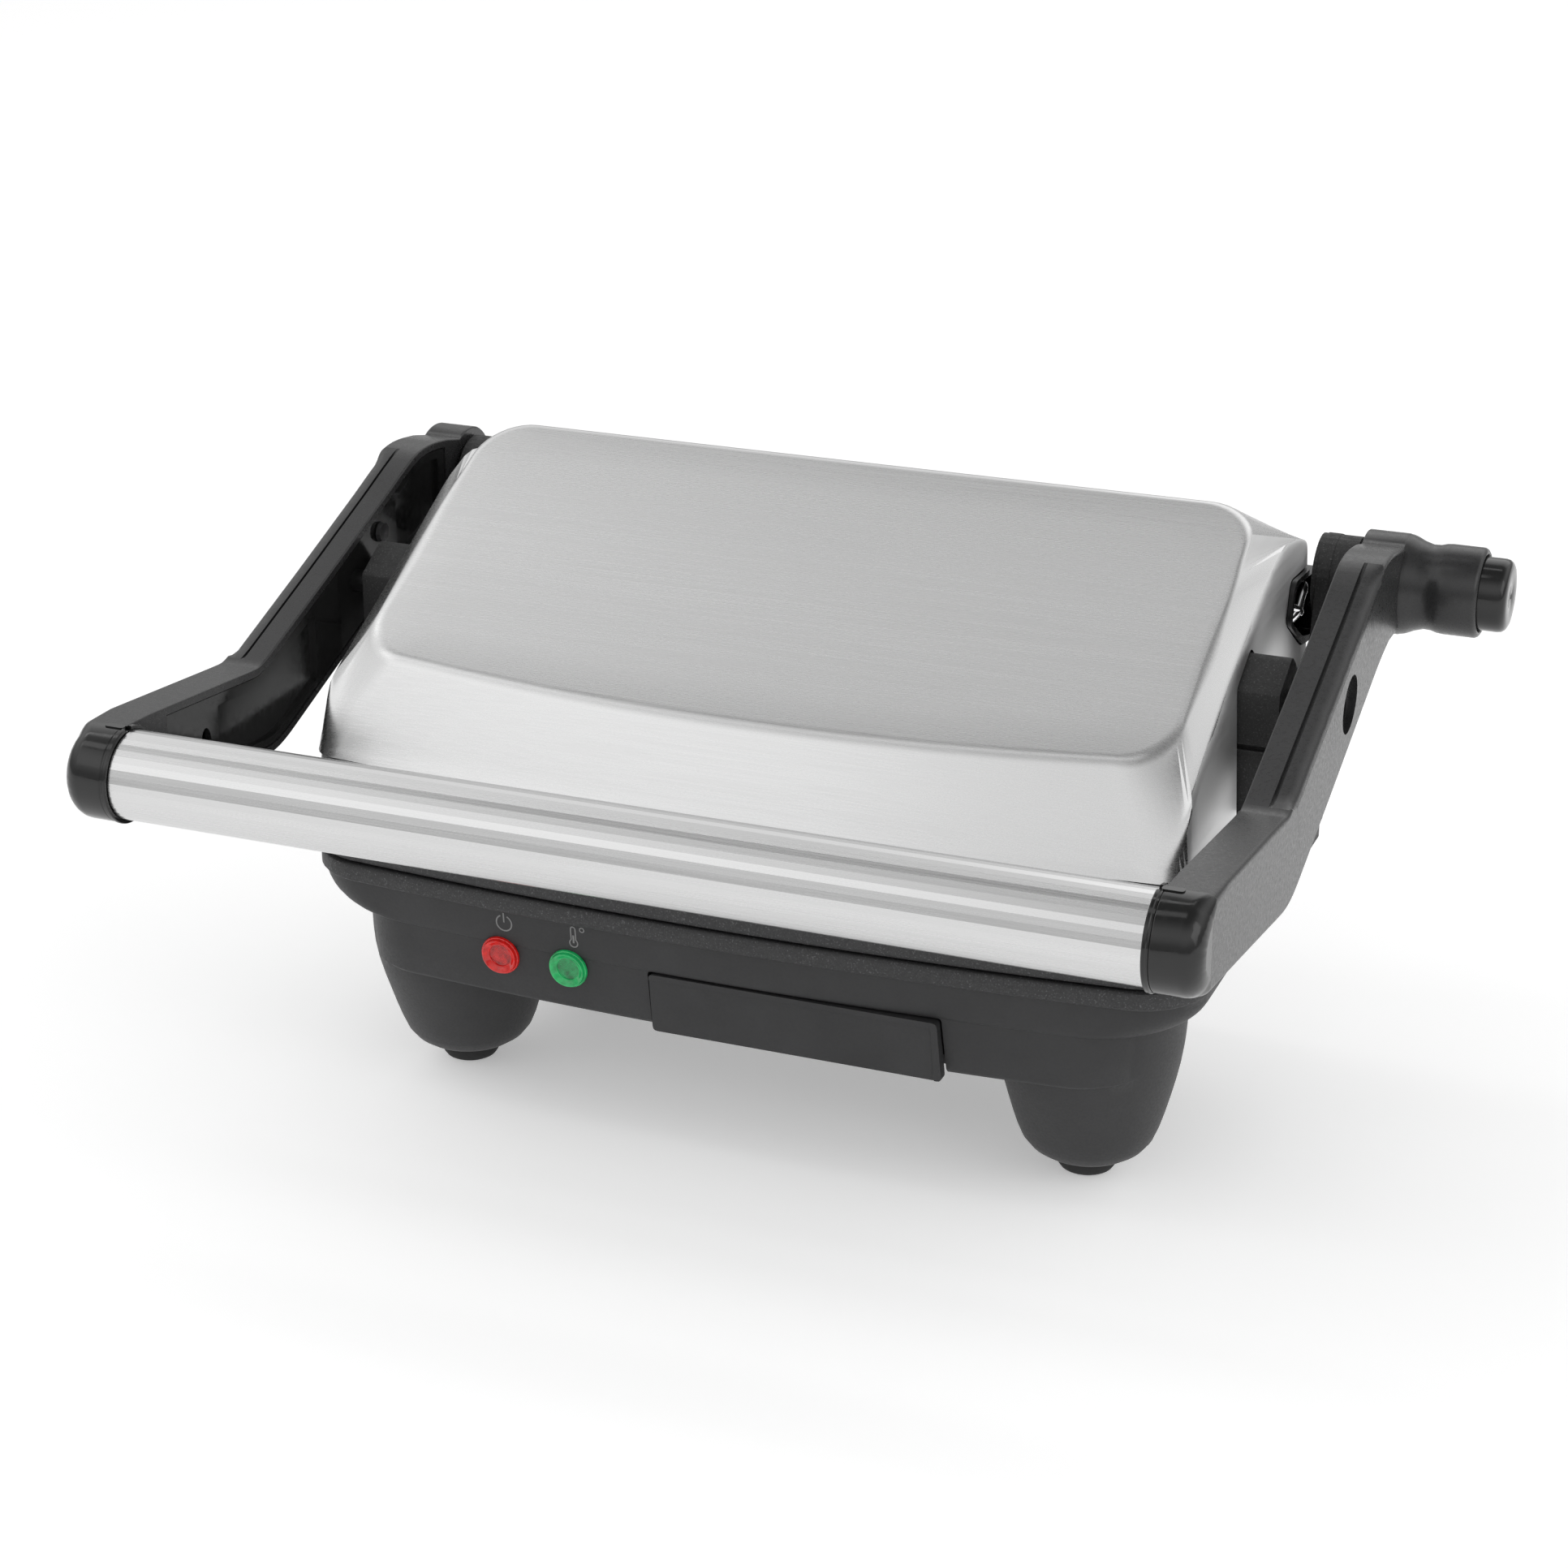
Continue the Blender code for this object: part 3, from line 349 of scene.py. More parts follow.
def softened(outline, radius, steps=5):
    """Round the corners of a closed flat outline."""
    result = []
    count = len(outline)
    for i in range(count):
        before, here, after = (Vector(outline[(i + k) % count]) for k in (-1, 0, 1))
        result += [tuple(point) for point in corner_curve(before, here, after, radius, steps)]
    return result


def smooth_path(points, radius, steps=5):
    """An open polyline with its inner corners rounded."""
    result = [tuple(points[0])]
    for trio in zip(points, points[1:], points[2:]):
        curve = corner_curve(*(Vector(point) for point in trio), radius, steps, most=0.48)
        result += [tuple(point) for point in curve]
    result.append(tuple(points[-1]))
    return result


def scaled(outline, margin):
    """An outline with its points moved away from its middle."""
    count = len(outline)
    middle = Vector((sum(a for a, b in outline) / count, sum(b for a, b in outline) / count))
    result = []
    for point in outline:
        out = Vector(point) - middle
        result.append(tuple(middle + out * (1 + margin / out.length)))
    return result


def plan_ring(half_width, front, rear, corner, height, bow=BOW):
    """A fine plan outline, evenly stepped, with a bowed front edge and rounded corners."""
    straight = half_width - corner
    half = [(straight * i / FRONT_STEPS, front + bow * (i / FRONT_STEPS) ** 2) for i in range(FRONT_STEPS + 1)]
    half += arc((straight, front + bow + corner), corner, -90, 0, CORNER_STEPS)[1:]
    side_front, side_rear = front + bow + corner, rear - corner
    half += [(half_width, side_front + (side_rear - side_front) * i / SIDE_STEPS) for i in range(1, SIDE_STEPS + 1)]
    half += arc((straight, rear - corner), corner, 0, 90, CORNER_STEPS)[1:]
    half += [(straight * (1 - i / REAR_STEPS), rear) for i in range(1, REAR_STEPS + 1)]
    outline = half + [(-x, y) for x, y in reversed(half[1:-1])]
    return [Vector((x, y, height)) for x, y in outline]


def rounded_columns(rings, radii, steps=5):
    """Round a stack of rings where it bends: each inner ring becomes a short curve."""
    result = [rings[0]]
    for index in range(1, len(rings) - 1):
        if not radii[index]:
            result.append(rings[index])
            continue
        columns = zip(rings[index - 1], rings[index], rings[index + 1])
        curves = [corner_curve(before, here, after, radii[index], steps) for before, here, after in columns]
        result += [list(ring) for ring in zip(*curves)]
    result.append(rings[-1])
    return result


def facing_out(mesh_data):
    bmesh.ops.recalc_face_normals(mesh_data, faces=mesh_data.faces)
    return mesh_data


def skin(rings):
    """Skin a stack of rings and cap its ends."""
    mesh_data = bmesh.new()
    rows = [[mesh_data.verts.new(point) for point in ring] for ring in rings]
    count = len(rows[0])
    for lower, upper in zip(rows, rows[1:]):
        for i in range(count):
            j = (i + 1) % count
            mesh_data.faces.new((lower[i], lower[j], upper[j], upper[i]))
    mesh_data.faces.new(rows[-1])
    mesh_data.faces.new(list(reversed(rows[0])))
    return mesh_data


def prism(outline, low, high, axis="X"):
    """An outline extruded along an axis of the press: (y, z) along X, (x, z) along Y, (x, y) along Z."""
    mesh_data = bmesh.new()
    loops = []
    for value in (low, high):
        points = {"X": [(value, a, b) for a, b in outline], "Y": [(a, value, b) for a, b in outline],
                  "Z": [(a, b, value) for a, b in outline]}[axis]
        loops.append([mesh_data.verts.new(point) for point in points])
    count = len(outline)
    for i in range(count):
        j = (i + 1) % count
        mesh_data.faces.new((loops[0][i], loops[0][j], loops[1][j], loops[1][i]))
    mesh_data.faces.new(list(reversed(loops[0])))
    mesh_data.faces.new(loops[1])
    return facing_out(mesh_data)


def placed(point, along):
    """A frame at a point whose Z runs along a line."""
    turn = Vector(along).to_track_quat("Z", "Y").to_matrix().to_4x4()
    return Matrix.Translation(Vector(point)) @ turn


def lathe(profile, point, along, steps):
    """Turn (radius, height) pairs about a line through a point."""
    mesh_data = bmesh.new()
    place = placed(point, along)
    rows = []
    for radius, height in profile:
        if radius < TINY:
            rows.append([mesh_data.verts.new(place @ Vector((0, 0, height)))])
        else:
            circle = [Vector((radius * math.cos(a), radius * math.sin(a), height)) for a in full_turn(steps)]
            rows.append([mesh_data.verts.new(place @ corner) for corner in circle])
    pairs = list(zip(rows, rows[1:]))
    if profile[0][0] >= TINY:
        pairs.append((rows[-1], rows[0]))
    for first, second in pairs:
        for i in range(steps):
            j = (i + 1) % steps
            loop = [first[i % len(first)], first[j % len(first)], second[j % len(second)], second[i % len(second)]]
            loop = list(dict.fromkeys(loop))
            if len(loop) > 2:
                mesh_data.faces.new(loop)
    return facing_out(mesh_data)


def rod(radius, start, end, point, along, steps):
    """A plain round rod between two heights along a line."""
    return lathe([(0, start), (radius, start), (radius, end), (0, end)], point, along, steps)


def cutter(mesh_data):
    """A hidden body to cut or join with, removed once it has been used."""
    bmesh.ops.transform(mesh_data, matrix=TO_ROW, verts=mesh_data.verts)
    bmesh.ops.triangulate(mesh_data, faces=mesh_data.faces)
    return linked_object("cutter", mesh_data)


def body_from(mesh_data, minus=(), plus=()):
    """A mesh with others joined to it and then cut from it, as a new bmesh in press millimetres."""
    base = cutter(mesh_data)
    tools = [(cutter(other), "UNION") for other in plus] + [(cutter(other), "DIFFERENCE") for other in minus]
    for tool, operation in tools:
        modifier = base.modifiers.new("cut", "BOOLEAN")
        modifier.operation = operation
        modifier.solver = "EXACT"
        modifier.object = tool
    graph = bpy.context.evaluated_depsgraph_get()
    mesh = bpy.data.meshes.new_from_object(base.evaluated_get(graph))
    result = bmesh.new()
    result.from_mesh(mesh)
    bmesh.ops.transform(result, matrix=TO_ROW.inverted(), verts=result.verts)
    bpy.data.meshes.remove(mesh)
    for obj in [base] + [tool for tool, _ in tools]:
        data = obj.data
        bpy.data.objects.remove(obj)
        bpy.data.meshes.remove(data)
    return result


def bevel(obj, width, segments, angle):
    modifier = obj.modifiers.new("Rounded edges", "BEVEL")
    modifier.width = width * MM
    modifier.segments = segments
    modifier.limit_method = "ANGLE"
    modifier.angle_limit = math.radians(angle)
    modifier.use_clamp_overlap = True
    modifier.harden_normals = True


def even_normals(obj):
    """Keep flat faces flat beside small roundings."""
    modifier = obj.modifiers.new("Even normals", "WEIGHTED_NORMAL")
    modifier.keep_sharp = True
    modifier.weight = 80


def rounded_side(outline, side, near, far, near_radius, far_radius, steps=6):
    """A side-view outline from near to far of the middle plane; its rims are rounded by radii
    that may vary with the distance back."""
    count = len(outline)
    inward = []
    for i in range(count):
        before = Vector(outline[i]) - Vector(outline[i - 1])
        after = Vector(outline[(i + 1) % count]) - Vector(outline[i])
        turn = before.normalized() + after.normalized()
        inward.append(Vector((-turn.y, turn.x)).normalized())
    area = sum(a[0] * b[1] - b[0] * a[1] for a, b in zip(outline, outline[1:] + outline[:1]))
    if area < 0:
        inward = [-n for n in inward]
    rings = []
    for edge, sign, radius_at, order in ((near, 1, near_radius, range(steps, -1, -1)),
                                         (far, -1, far_radius, range(steps + 1))):
        for k in order:
            turn = math.pi / 2 * k / steps
            ring = []
            for (y, z), n in zip(outline, inward):
                radius = radius_at(y)
                at = Vector((y, z)) + n * radius * (1 - math.cos(turn))
                out = edge + sign * radius * (1 - math.sin(turn))
                ring.append(Vector((side * out, at.x, at.y)))
            rings.append(ring)
    return facing_out(skin(rings))


def spline_point(p0, p1, p2, p3, t):
    """A point between p1 and p2 on a smooth line through all four."""
    bend = 2 * p0 - 5 * p1 + 4 * p2 - p3
    return 0.5 * (2 * p1 + (p2 - p0) * t + bend * t * t + (3 * p1 - p0 - 3 * p2 + p3) * t ** 3)


def tube(name, points, radius, body, slot, sides=14, steps=6):
    """A round wire along a smoothed line of points."""
    points = [Vector(p) for p in points]
    last = len(points) - 1
    fine = []
    for i in range(last):
        around = points[max(i - 1, 0)], points[i], points[i + 1], points[min(i + 2, last)]
        fine += [spline_point(*around, k / steps) for k in range(steps)]
    fine.append(points[-1])
    rings = []
    for i, point in enumerate(fine):
        run = (fine[min(i + 1, len(fine) - 1)] - fine[max(i - 1, 0)]).normalized()
        first = run.cross(Vector((1, 0.13, 0.07))).normalized()
        second = run.cross(first)
        rings.append([point + (first * math.cos(a) + second * math.sin(a)) * radius for a in full_turn(sides)])
    return piece(name, facing_out(skin(rings)), body, slot)


# ---------------------------------------------------------------- lid

LID_TOP_FRONT, LID_TOP_REAR = (73.7, 117.7), (161.7, 161.95)
LID_FRONT, LID_REAR, LID_WIDE, LID_CORNER = 62.8, 192.6, 117.2, 9.0
EDGE_FRONT, EDGE_REAR, EDGE_WIDE, EDGE_CORNER = 60.9, 193.9, 118.9, 8.0
LID_BOTTOM, HOLLOW_BOTTOM = 95.0, 90.0
STEEL = 0.9                     # the shell's thickness at its sides
SHOULDER_STEEL, TOP_STEEL = 2.4, 1.2    # its height through the shoulder and the top, in thicknesses
LID_ROUNDING = [0, 3.0, 2.6, 0, 0]
SHOULDER_DROP = 6.4             # from the top's plane down to the shoulder beside it
SIDE_FACING = 0.80              # faces whose normal has more X than this are the shell's sides
SLOT = [(162.0, 130.5), (166.0, 141.0), (189.5, 139.0), (189.5, 118.0), (178.5, 119.5)]

# (half width, distance in from the top's edge, corner radius)
LID_TOP_RINGS = ((110.0, 0.0, 14.0), (96.0, 12.0, 11.0), (70.0, 24.0, 8.0))
# (half width, front, rear, corner radius, height)
FRAME_OUTSIDE = [(123.2, 59.4, 195.4, 19.0, 67.0), (124.0, 58.8, 196.0, 19.0, 68.2),
                 (123.4, 59.0, 195.6, 18.0, 76.0), (120.8, 60.2, 195.0, 14.0, 87.0),
                 (118.4, 60.9, 194.2, 9.0, 94.7)]
FRAME_INSIDE = [(117.4, 61.8, 192.6, 14.5, 62.0), (117.4, 61.8, 192.6, 14.0, 76.0),
                (117.0, 63.0, 192.2, 11.0, 87.0), (114.6, 64.6, 190.6, 8.0, 100.0)]
FRAME_ROUNDING = [0, 0.6, 3.0, 3.0, 0]
NOTCH_IN, NOTCH_OUT = 98, 123
POST_IN, POST_FRONT = 119.2, 168.5      # where the frame is cut back beside the hinge posts
BLOCK_IN, BLOCK_OUT, BLOCK_BORE_FROM = 110.0, 128.0, 113.8
BEZEL_IN, BEZEL_OUT = 112.6, 118.9

LEDGE = corners(110, 112.6, 117.4, 114.0)
UNDER_LEDGE = [(110, 90), (117.2, 90), (116.9, 112.0), (110, 112.0)]
CHROME_LINK = [(109.0, 170.0, 124.0), (113.5, 171.5, 126.0), (117.2, 174.0, 129.5), (117.6, 177.5, 133.0),
               (117.0, 182.0, 135.2), (112.0, 186.0, 135.0)]
CHROME_CROSS = [(109.0, 171.0, 133.5), (116.0, 172.5, 132.0), (118.0, 176.5, 129.5), (115.0, 181.0, 126.0)]
PIVOT_BORE, HINGE_BORE, COVER_BORE, SCREW_BORE = 3.4, 4.3, 3.5, 1.75


def lid_top(y):
    """The height of the tilted top at a distance back."""
    (y0, z0), (y1, z1) = LID_TOP_FRONT, LID_TOP_REAR
    return z0 + (z1 - z0) * (y - y0) / (y1 - y0)


LID_SHOULDER = [(0.0, 97.6), (LID_FRONT + BOW, 98.2), (77.0, lid_top(77.0) - SHOULDER_DROP),
                (148.0, lid_top(148.0) - SHOULDER_DROP), (161.7, 152.8), (176.0, 150.2), (LID_REAR, 143.8)]


def lid_rings(inset, bottom):
    """The shell's bottom edge, its shoulder, and rings that close its tilted top."""
    rings = [plan_ring(EDGE_WIDE - inset, EDGE_FRONT + inset, EDGE_REAR - inset, EDGE_CORNER - inset, bottom)]
    level = plan_ring(LID_WIDE - inset, LID_FRONT + inset, LID_REAR - inset, LID_CORNER - inset, 0.0)
    rings.append([Vector((p.x, p.y, height_on(LID_SHOULDER, p.y) - inset * SHOULDER_STEEL)) for p in level])
    for half_width, back, corner in LID_TOP_RINGS:
        front, rear = LID_TOP_FRONT[0] + back, LID_TOP_REAR[0] - back
        ring = plan_ring(half_width - inset, front + inset, rear - inset, corner - inset, 0.0)
        rings.append([Vector((p.x, p.y, lid_top(p.y) - inset * TOP_STEEL)) for p in ring])
    return rounded_columns(rings, LID_ROUNDING, 6)


def block_outline(margin):
    low, front, rear, top = 95.6, 116.0 - margin, 140.0 + margin, 134.2 + margin
    return [(front, low - 5 * margin), (rear, low - 5 * margin), (rear, 121.0 + margin),
            (131.5, 131.5 + margin), (128.0, top), (126.0, top - 0.5), (front, 128.2 + margin * 0.6)]


def build_lid():
    minus = [skin(lid_rings(STEEL, HOLLOW_BOTTOM))]
    for side, _ in SIDES:
        through = mirrored(side, NOTCH_IN, NOTCH_OUT)
        minus.append(prism(softened(block_outline(1.0), 1.6), *through))
        minus.append(prism(softened(scaled(SLOT, 0.4), 3.0), *through))
    cover = body_from(skin(lid_rings(0, LID_BOTTOM)), minus=minus)
    obj = piece("lid_steel_cover", cover, "lid", "brushed_steel", "lid_cover", sharp=32)
    # the sides take the lighter copy of the steel: painted light
    second_look(obj, LIGHTER_SIDE_STEEL, lambda face: abs(face.normal.x) > SIDE_FACING)


def build_frame():
    """The lid's black lower frame, cut back beside the hinge posts."""
    minus = [skin([plan_ring(*row) for row in FRAME_INSIDE])]
    for side, _ in SIDES:
        low, high = mirrored(side, POST_IN, 140)
        minus.append(prism(corners(low, POST_FRONT, high, 210), 60, 100, "Z"))
    rings = rounded_columns([plan_ring(*row) for row in FRAME_OUTSIDE], FRAME_ROUNDING)
    piece("lid_lower_frame", body_from(skin(rings), minus=minus), "lid", "textured_plastic", "lid_frame", look=RIM)


def build_blocks():
    """Side blocks, their ledges, the slot bezels and the chrome links inside the slots."""
    for side, name in SIDES:
        past = mirrored(side, BLOCK_IN - 1, BLOCK_OUT + 2)
        bore = rod(PIVOT_BORE, 0, 20, (side * BLOCK_BORE_FROM, *PIVOT.yz), (side, 0, 0), 24)
        block = prism(softened(block_outline(0.0), 0.6, 2), *mirrored(side, BLOCK_IN, BLOCK_OUT))
        body = body_from(block, minus=[prism(LEDGE, *past), prism(UNDER_LEDGE, *past), bore])
        obj = piece(name + "_side_block", body, "lid", "textured_plastic", name + "_pivot_block")
        bevel(obj, 0.8, 3, 40)
        hole = prism(softened(scaled(SLOT, -2.6), 2.6), *mirrored(side, 105, 122))
        bezel = prism(softened(scaled(SLOT, -0.1), 3.0), *mirrored(side, BEZEL_IN, BEZEL_OUT))
        obj = piece(name + "_slot_frame", body_from(bezel, minus=[hole]), "lid", "satin_plastic",
                    name + "_slot_bezel", look=GLOSS)
        bevel(obj, 0.5, 2, 40)
        for wire, path, radius in (("_chrome_link", CHROME_LINK, 1.4), ("_chrome_cross", CHROME_CROSS, 1.1)):
            tube(name + wire, [(side * x, y, z) for x, y, z in path], radius, "lid", "chrome_wire")


# ---------------------------------------------------------------- arms

ARM_IN, ARM_OUT = 131.7, 143.5
KNUCKLE, CAP = 13.5, 12.4       # the arm's outer radii round the hinge and round the bar
ARM_TOP = [(12.0, 123.4), (62.0, 117.9), (66.0, 117.6), (70.0, 118.8), (107.0, 132.0), (140.0, 144.2),
           (150.0, 148.2), (158.0, 150.9), (166.0, 151.3), (176.0, 149.8)]
ARM_BOTTOM = [(8.0, 100.2), (40.0, 95.8), (68.0, 91.9), (76.0, 92.8), (115.0, 107.0), (160.0, 123.9),
              (170.0, 126.2)]
TOP_PATH = smooth_path(ARM_TOP, 5.0)
BOTTOM_PATH = smooth_path(ARM_BOTTOM, 6.0)
BAND_STEPS = 40

# the groove along the arm's top edge: (x, height) pairs, and how it runs out at its ends
GROOVE = [(137.9, 2.0), (137.9, -1.4), (138.8, -1.4), (138.9, -0.35), (140.6, -0.45), (141.9, -0.95),
          (142.9, -1.9), (143.6, -3.6), (146.0, -3.6), (146.0, 2.0)]
GROOVE_START, GROOVE_END, GROOVE_STEPS = 68.0, 159.0, 40
GROOVE_FADE_IN, GROOVE_FADE_OUT, GROOVE_LEAST = 4.0, 7.0, 0.02

RIM_IN, RIM_OUT, RIM_NOSE = 0.5, 1.3, 3.9       # rounding of the arm's rims, and more round the bar
NOSE_START, NOSE_LENGTH = 3.0, 7.0
GLOSS_END = 1.0                 # the arm is glossy in front of this distance back
BORE_FROM = 124.6
POCKETS, POCKET_MARGIN, POCKET_SKIN = ((34.0, 114.0), (140.0, 171.0)), 4.2, 2.6
# (start, end, margin above, margin below) of strips of the arm's side view
COVER_SEAT, COVER = (19.7, 174.3, 2.2, 2.2), (20.0, 174.0, 2.5, 2.5)
SEAT_DEPTH = 2.4
COVER_HOLLOWS = (((44.0, 96.0, 5.5, 4.5), 7.0), ((144.0, 170.0, 5.0, 4.0), 5.0))
COVER_SCREWS = ((27.0, 109.0), (134.0, 134.5))
COVER_BORE_FROM, COVER_TOP, COVER_BOTTOM, HOLLOW_FLOOR = 125, 0.25, 2.1, 1.35
COLLAR_FROM, PLUG_FROM, PLUG_LENGTH = 130.2, 130.25, 1.8
LOCK_IN, LOCK_OUT, LOCK_HALF = 131.2, 136.4, 1.1
LOCK_SLOT, LOCK_SLOT_IN, LOCK_SLOT_OUT = corners(-1.3, 5, 1.3, 16), 129.0, 133.0

COLLAR = [(CAP - 0.9, 0.0), (CAP - 0.25, 0.0), (CAP - 0.05, 0.25), (CAP - 0.05, 0.9), (CAP - 0.3, 1.15),
          (CAP - 0.3, 1.6), (CAP - 0.9, 1.6)]
BARREL_RADIUS = 11.9
BARREL = [(0, 141.6), (13.1, 141.6), (13.2, 143.3), (12.9, 144.4), (11.9, 146.6), (11.2, 149.0), (11.3, 151.0),
          (11.75, 152.6), (BARREL_RADIUS, 154.0), (BARREL_RADIUS, 162.4), (BARREL_RADIUS - 0.35, 163.1),
          (BARREL_RADIUS - 1.0, 163.5), (BARREL_RADIUS - 1.5, 163.4), (10.1, 162.8), (10.1, 144.5), (0, 144.5)]
BUTTON_END = 170.6
BUTTON = [(0, BUTTON_END - 1.3), (0.55, BUTTON_END - 1.3), (0.65, BUTTON_END - 0.25), (0.9, BUTTON_END - 0.1),
          (7.0, BUTTON_END), (8.0, BUTTON_END - 0.15), (8.9, BUTTON_END - 0.6), (9.5, BUTTON_END - 1.4),
          (9.7, BUTTON_END - 2.4), (9.7, 156.0), (9.3, 156.0), (9.3, 152.0), (7.0, 152.0), (7.0, 156.4), (0, 156.4)]


def arm_outline():
    """The arm's side view: a bent beam with a round end at the hinge and at the bar."""
    points = list(BOTTOM_PATH)
    points += arc(HINGE.yz, KNUCKLE - 0.1, -132, 118, 30)
    points += list(reversed(TOP_PATH))
    points += arc((0.0, BAR_HEIGHT), CAP - 0.3, 85, 268, 36)
    return points


def arm_band(start, end, margin, low_margin):
    """A strip of the arm's side view between two distances back, inside its margins."""
    stations = [start + (end - start) * i / BAND_STEPS for i in range(BAND_STEPS + 1)]
    lower = [(y, height_on(BOTTOM_PATH, y) + low_margin) for y in stations]
    upper = [(y, height_on(TOP_PATH, y) - margin) for y in reversed(stations)]
    return lower + upper


def top_groove(side):
    """The groove's section swept along the arm's top edge."""
    rings = []
    for i in range(GROOVE_STEPS + 1):
        y = GROOVE_START + (GROOVE_END - GROOVE_START) * i / GROOVE_STEPS
        z = height_on(TOP_PATH, y)
        slope = math.atan2(height_on(TOP_PATH, y + 1) - height_on(TOP_PATH, y - 1), 2)
        fade = min(1.0, (y - GROOVE_START) / GROOVE_FADE_IN + GROOVE_LEAST,
                   (GROOVE_END - y) / GROOVE_FADE_OUT + GROOVE_LEAST)
        ring = []
        for x, n in GROOVE:
            n = n * fade if n < 0 else n
            ring.append(Vector((side * x, y - math.sin(slope) * n, z + math.cos(slope) * n)))
        rings.append(ring)
    return facing_out(skin(rings))


def outer_rim(y):
    """The rounding of the arm's outer rim, which grows round the end of the bar."""
    return RIM_OUT + RIM_NOSE * max(0.0, min(1.0, (NOSE_START - y) / NOSE_LENGTH))


def pivot_recess():
    """A slanted oval round the pivot's outer end."""
    size = 8.0
    return [(126.0 + size * math.cos(a) * 0.72 - size * math.sin(a) * 0.60,
             124.5 + size * math.cos(a) * 0.66 + size * math.sin(a) * 0.62) for a in full_turn(32)]


def build_arm(side, name):
    outward = (side, 0, 0)
    minus = [top_groove(side)]
    for start, end in POCKETS:
        pocket = arm_band(start, end, POCKET_MARGIN, POCKET_MARGIN)
        minus.append(prism(softened(pocket, 1.0, 1), *mirrored(side, ARM_IN - 2, ARM_OUT - POCKET_SKIN)))
    minus.append(prism(arm_band(*COVER_SEAT), *mirrored(side, ARM_IN - 2, ARM_IN + SEAT_DEPTH)))
    minus.append(rod(HINGE_BORE, 0, 16.0, (side * BORE_FROM, *HINGE.yz), outward, 24))
    minus.append(rod(PIVOT_BORE, 0, 30, (side * BORE_FROM, *PIVOT.yz), outward, 24))
    minus.append(prism(pivot_recess(), *mirrored(side, ARM_OUT - 1.9, ARM_OUT + 3)))
    arm = rounded_side(arm_outline(), side, ARM_IN, ARM_OUT, lambda y: RIM_IN, outer_rim)
    obj = piece(name + "_arm_shell", body_from(arm, minus=minus), "arms", "satin_plastic", name + "_arm", sharp=40)
    even_normals(obj)
    start, inner_face = ORIGIN.y + GLOSS_END * MM, (ARM_IN - 0.1) * MM
    second_look(obj, GLOSS, lambda face: face.center.y < start and abs(face.center.x - ORIGIN.x) > inner_face)
    build_socket(side, name)


def build_socket(side, name):
    """The bar's socket: a flange ring with a small locating slot on top, its plug and its lock."""
    outward = (side, 0, 0)
    collar = lathe(COLLAR, (side * COLLAR_FROM, 0, BAR_HEIGHT), outward, 72)
    slot_cut = prism(LOCK_SLOT, *mirrored(side, LOCK_SLOT_IN, LOCK_SLOT_OUT))
    for vertex in slot_cut.verts:
        vertex.co.z += BAR_HEIGHT
    piece(name + "_bar_collar", body_from(collar, minus=[slot_cut]), "arms", "satin_plastic", look=GLOSS)
    plug = rod(CAP - 1.0, 0.0, PLUG_LENGTH, (side * PLUG_FROM, 0, BAR_HEIGHT), outward, 48)
    piece(name + "_bar_plug", plug, "arms", "satin_plastic", look=GLOSS)
    lock = softened(corners(side * LOCK_IN, -LOCK_HALF, side * LOCK_OUT, LOCK_HALF), 0.9, 4)
    lock = lock if side > 0 else list(reversed(lock))
    piece(name + "_bar_lock", prism(lock, BAR_HEIGHT + CAP - 1.0, BAR_HEIGHT + CAP - 0.02, "Z"),
          "arms", "satin_plastic", look=GLOSS)


def build_barrel_and_button():
    outward = (1, 0, 0)
    piece("release_barrel", lathe(BARREL, (0, *HINGE.yz), outward, 64), "arms", "satin_plastic")
    piece("release_button_cap", lathe(BUTTON, (0, *HINGE.yz), outward, 56), "release_button", "satin_plastic",
          "release_button", look=GLOSS)


def build_arm_cover(side, name):
    """The recessed inner cover: two shallow hollows, an oval hole and bores for its screws."""
    outward = (side, 0, 0)
    holes = [rod(COVER_BORE, 0, 20, (side * COVER_BORE_FROM, *PIVOT.yz), outward, 24)]
    for screw in COVER_SCREWS:
        holes.append(rod(SCREW_BORE, 0, 20, (side * COVER_BORE_FROM, *screw), outward, 16))
    for band, rounding in COVER_HOLLOWS:
        hollow = softened(arm_band(*band), rounding, 4)
        holes.append(prism(hollow, *mirrored(side, ARM_IN - 2, ARM_IN + HOLLOW_FLOOR)))
    oval = [(38.0 + 2.2 * math.cos(a) - 0.3 * math.sin(a), 107.0 + 3.4 * math.sin(a)) for a in full_turn(24)]
    holes.append(prism(oval, *mirrored(side, ARM_IN - 2, ARM_IN + 6)))
    plate = prism(arm_band(*COVER), *mirrored(side, ARM_IN + COVER_TOP, ARM_IN + COVER_BOTTOM))
    obj = piece(name + "_arm_inner_cover", body_from(plate, minus=holes), "arms", "satin_plastic",
                name + "_arm_cover", sharp=40, look=GLOSS)
    bevel(obj, 0.35, 2, 42)


# ---------------------------------------------------------------- base

RIM_TOP, RIM_BOTTOM, RIM_WIDE, RIM_FRONT, BASE_REAR = 66.2, 61.5, 123.0, 58.5, 196.0
FLANGE_BOTTOM, BODY_WIDE, BODY_REAR, BASE_FLOOR = 51.0, 109.0, 191.4, 36.0
FLANGE_TOP = RIM_BOTTOM - 0.7
BASE_CORNER, WALL = 19.0, 2.5
TRAY_LEFT, TRAY_RIGHT, TRAY_BOTTOM, TRAY_TOP = -19.6, 60.4, 34.6, 50.5
TRAY_FRONT = RIM_FRONT + 2.4
PAN_BOTTOM, PAN_REAR = BASE_FLOOR + 2.8, 122.0
LAMPS = {"power": (-62.7, "red_lens", RED_CENTRE), "ready": (-42.7, "green_lens", GREEN_CENTRE)}
LAMP_HEIGHT = 47.8
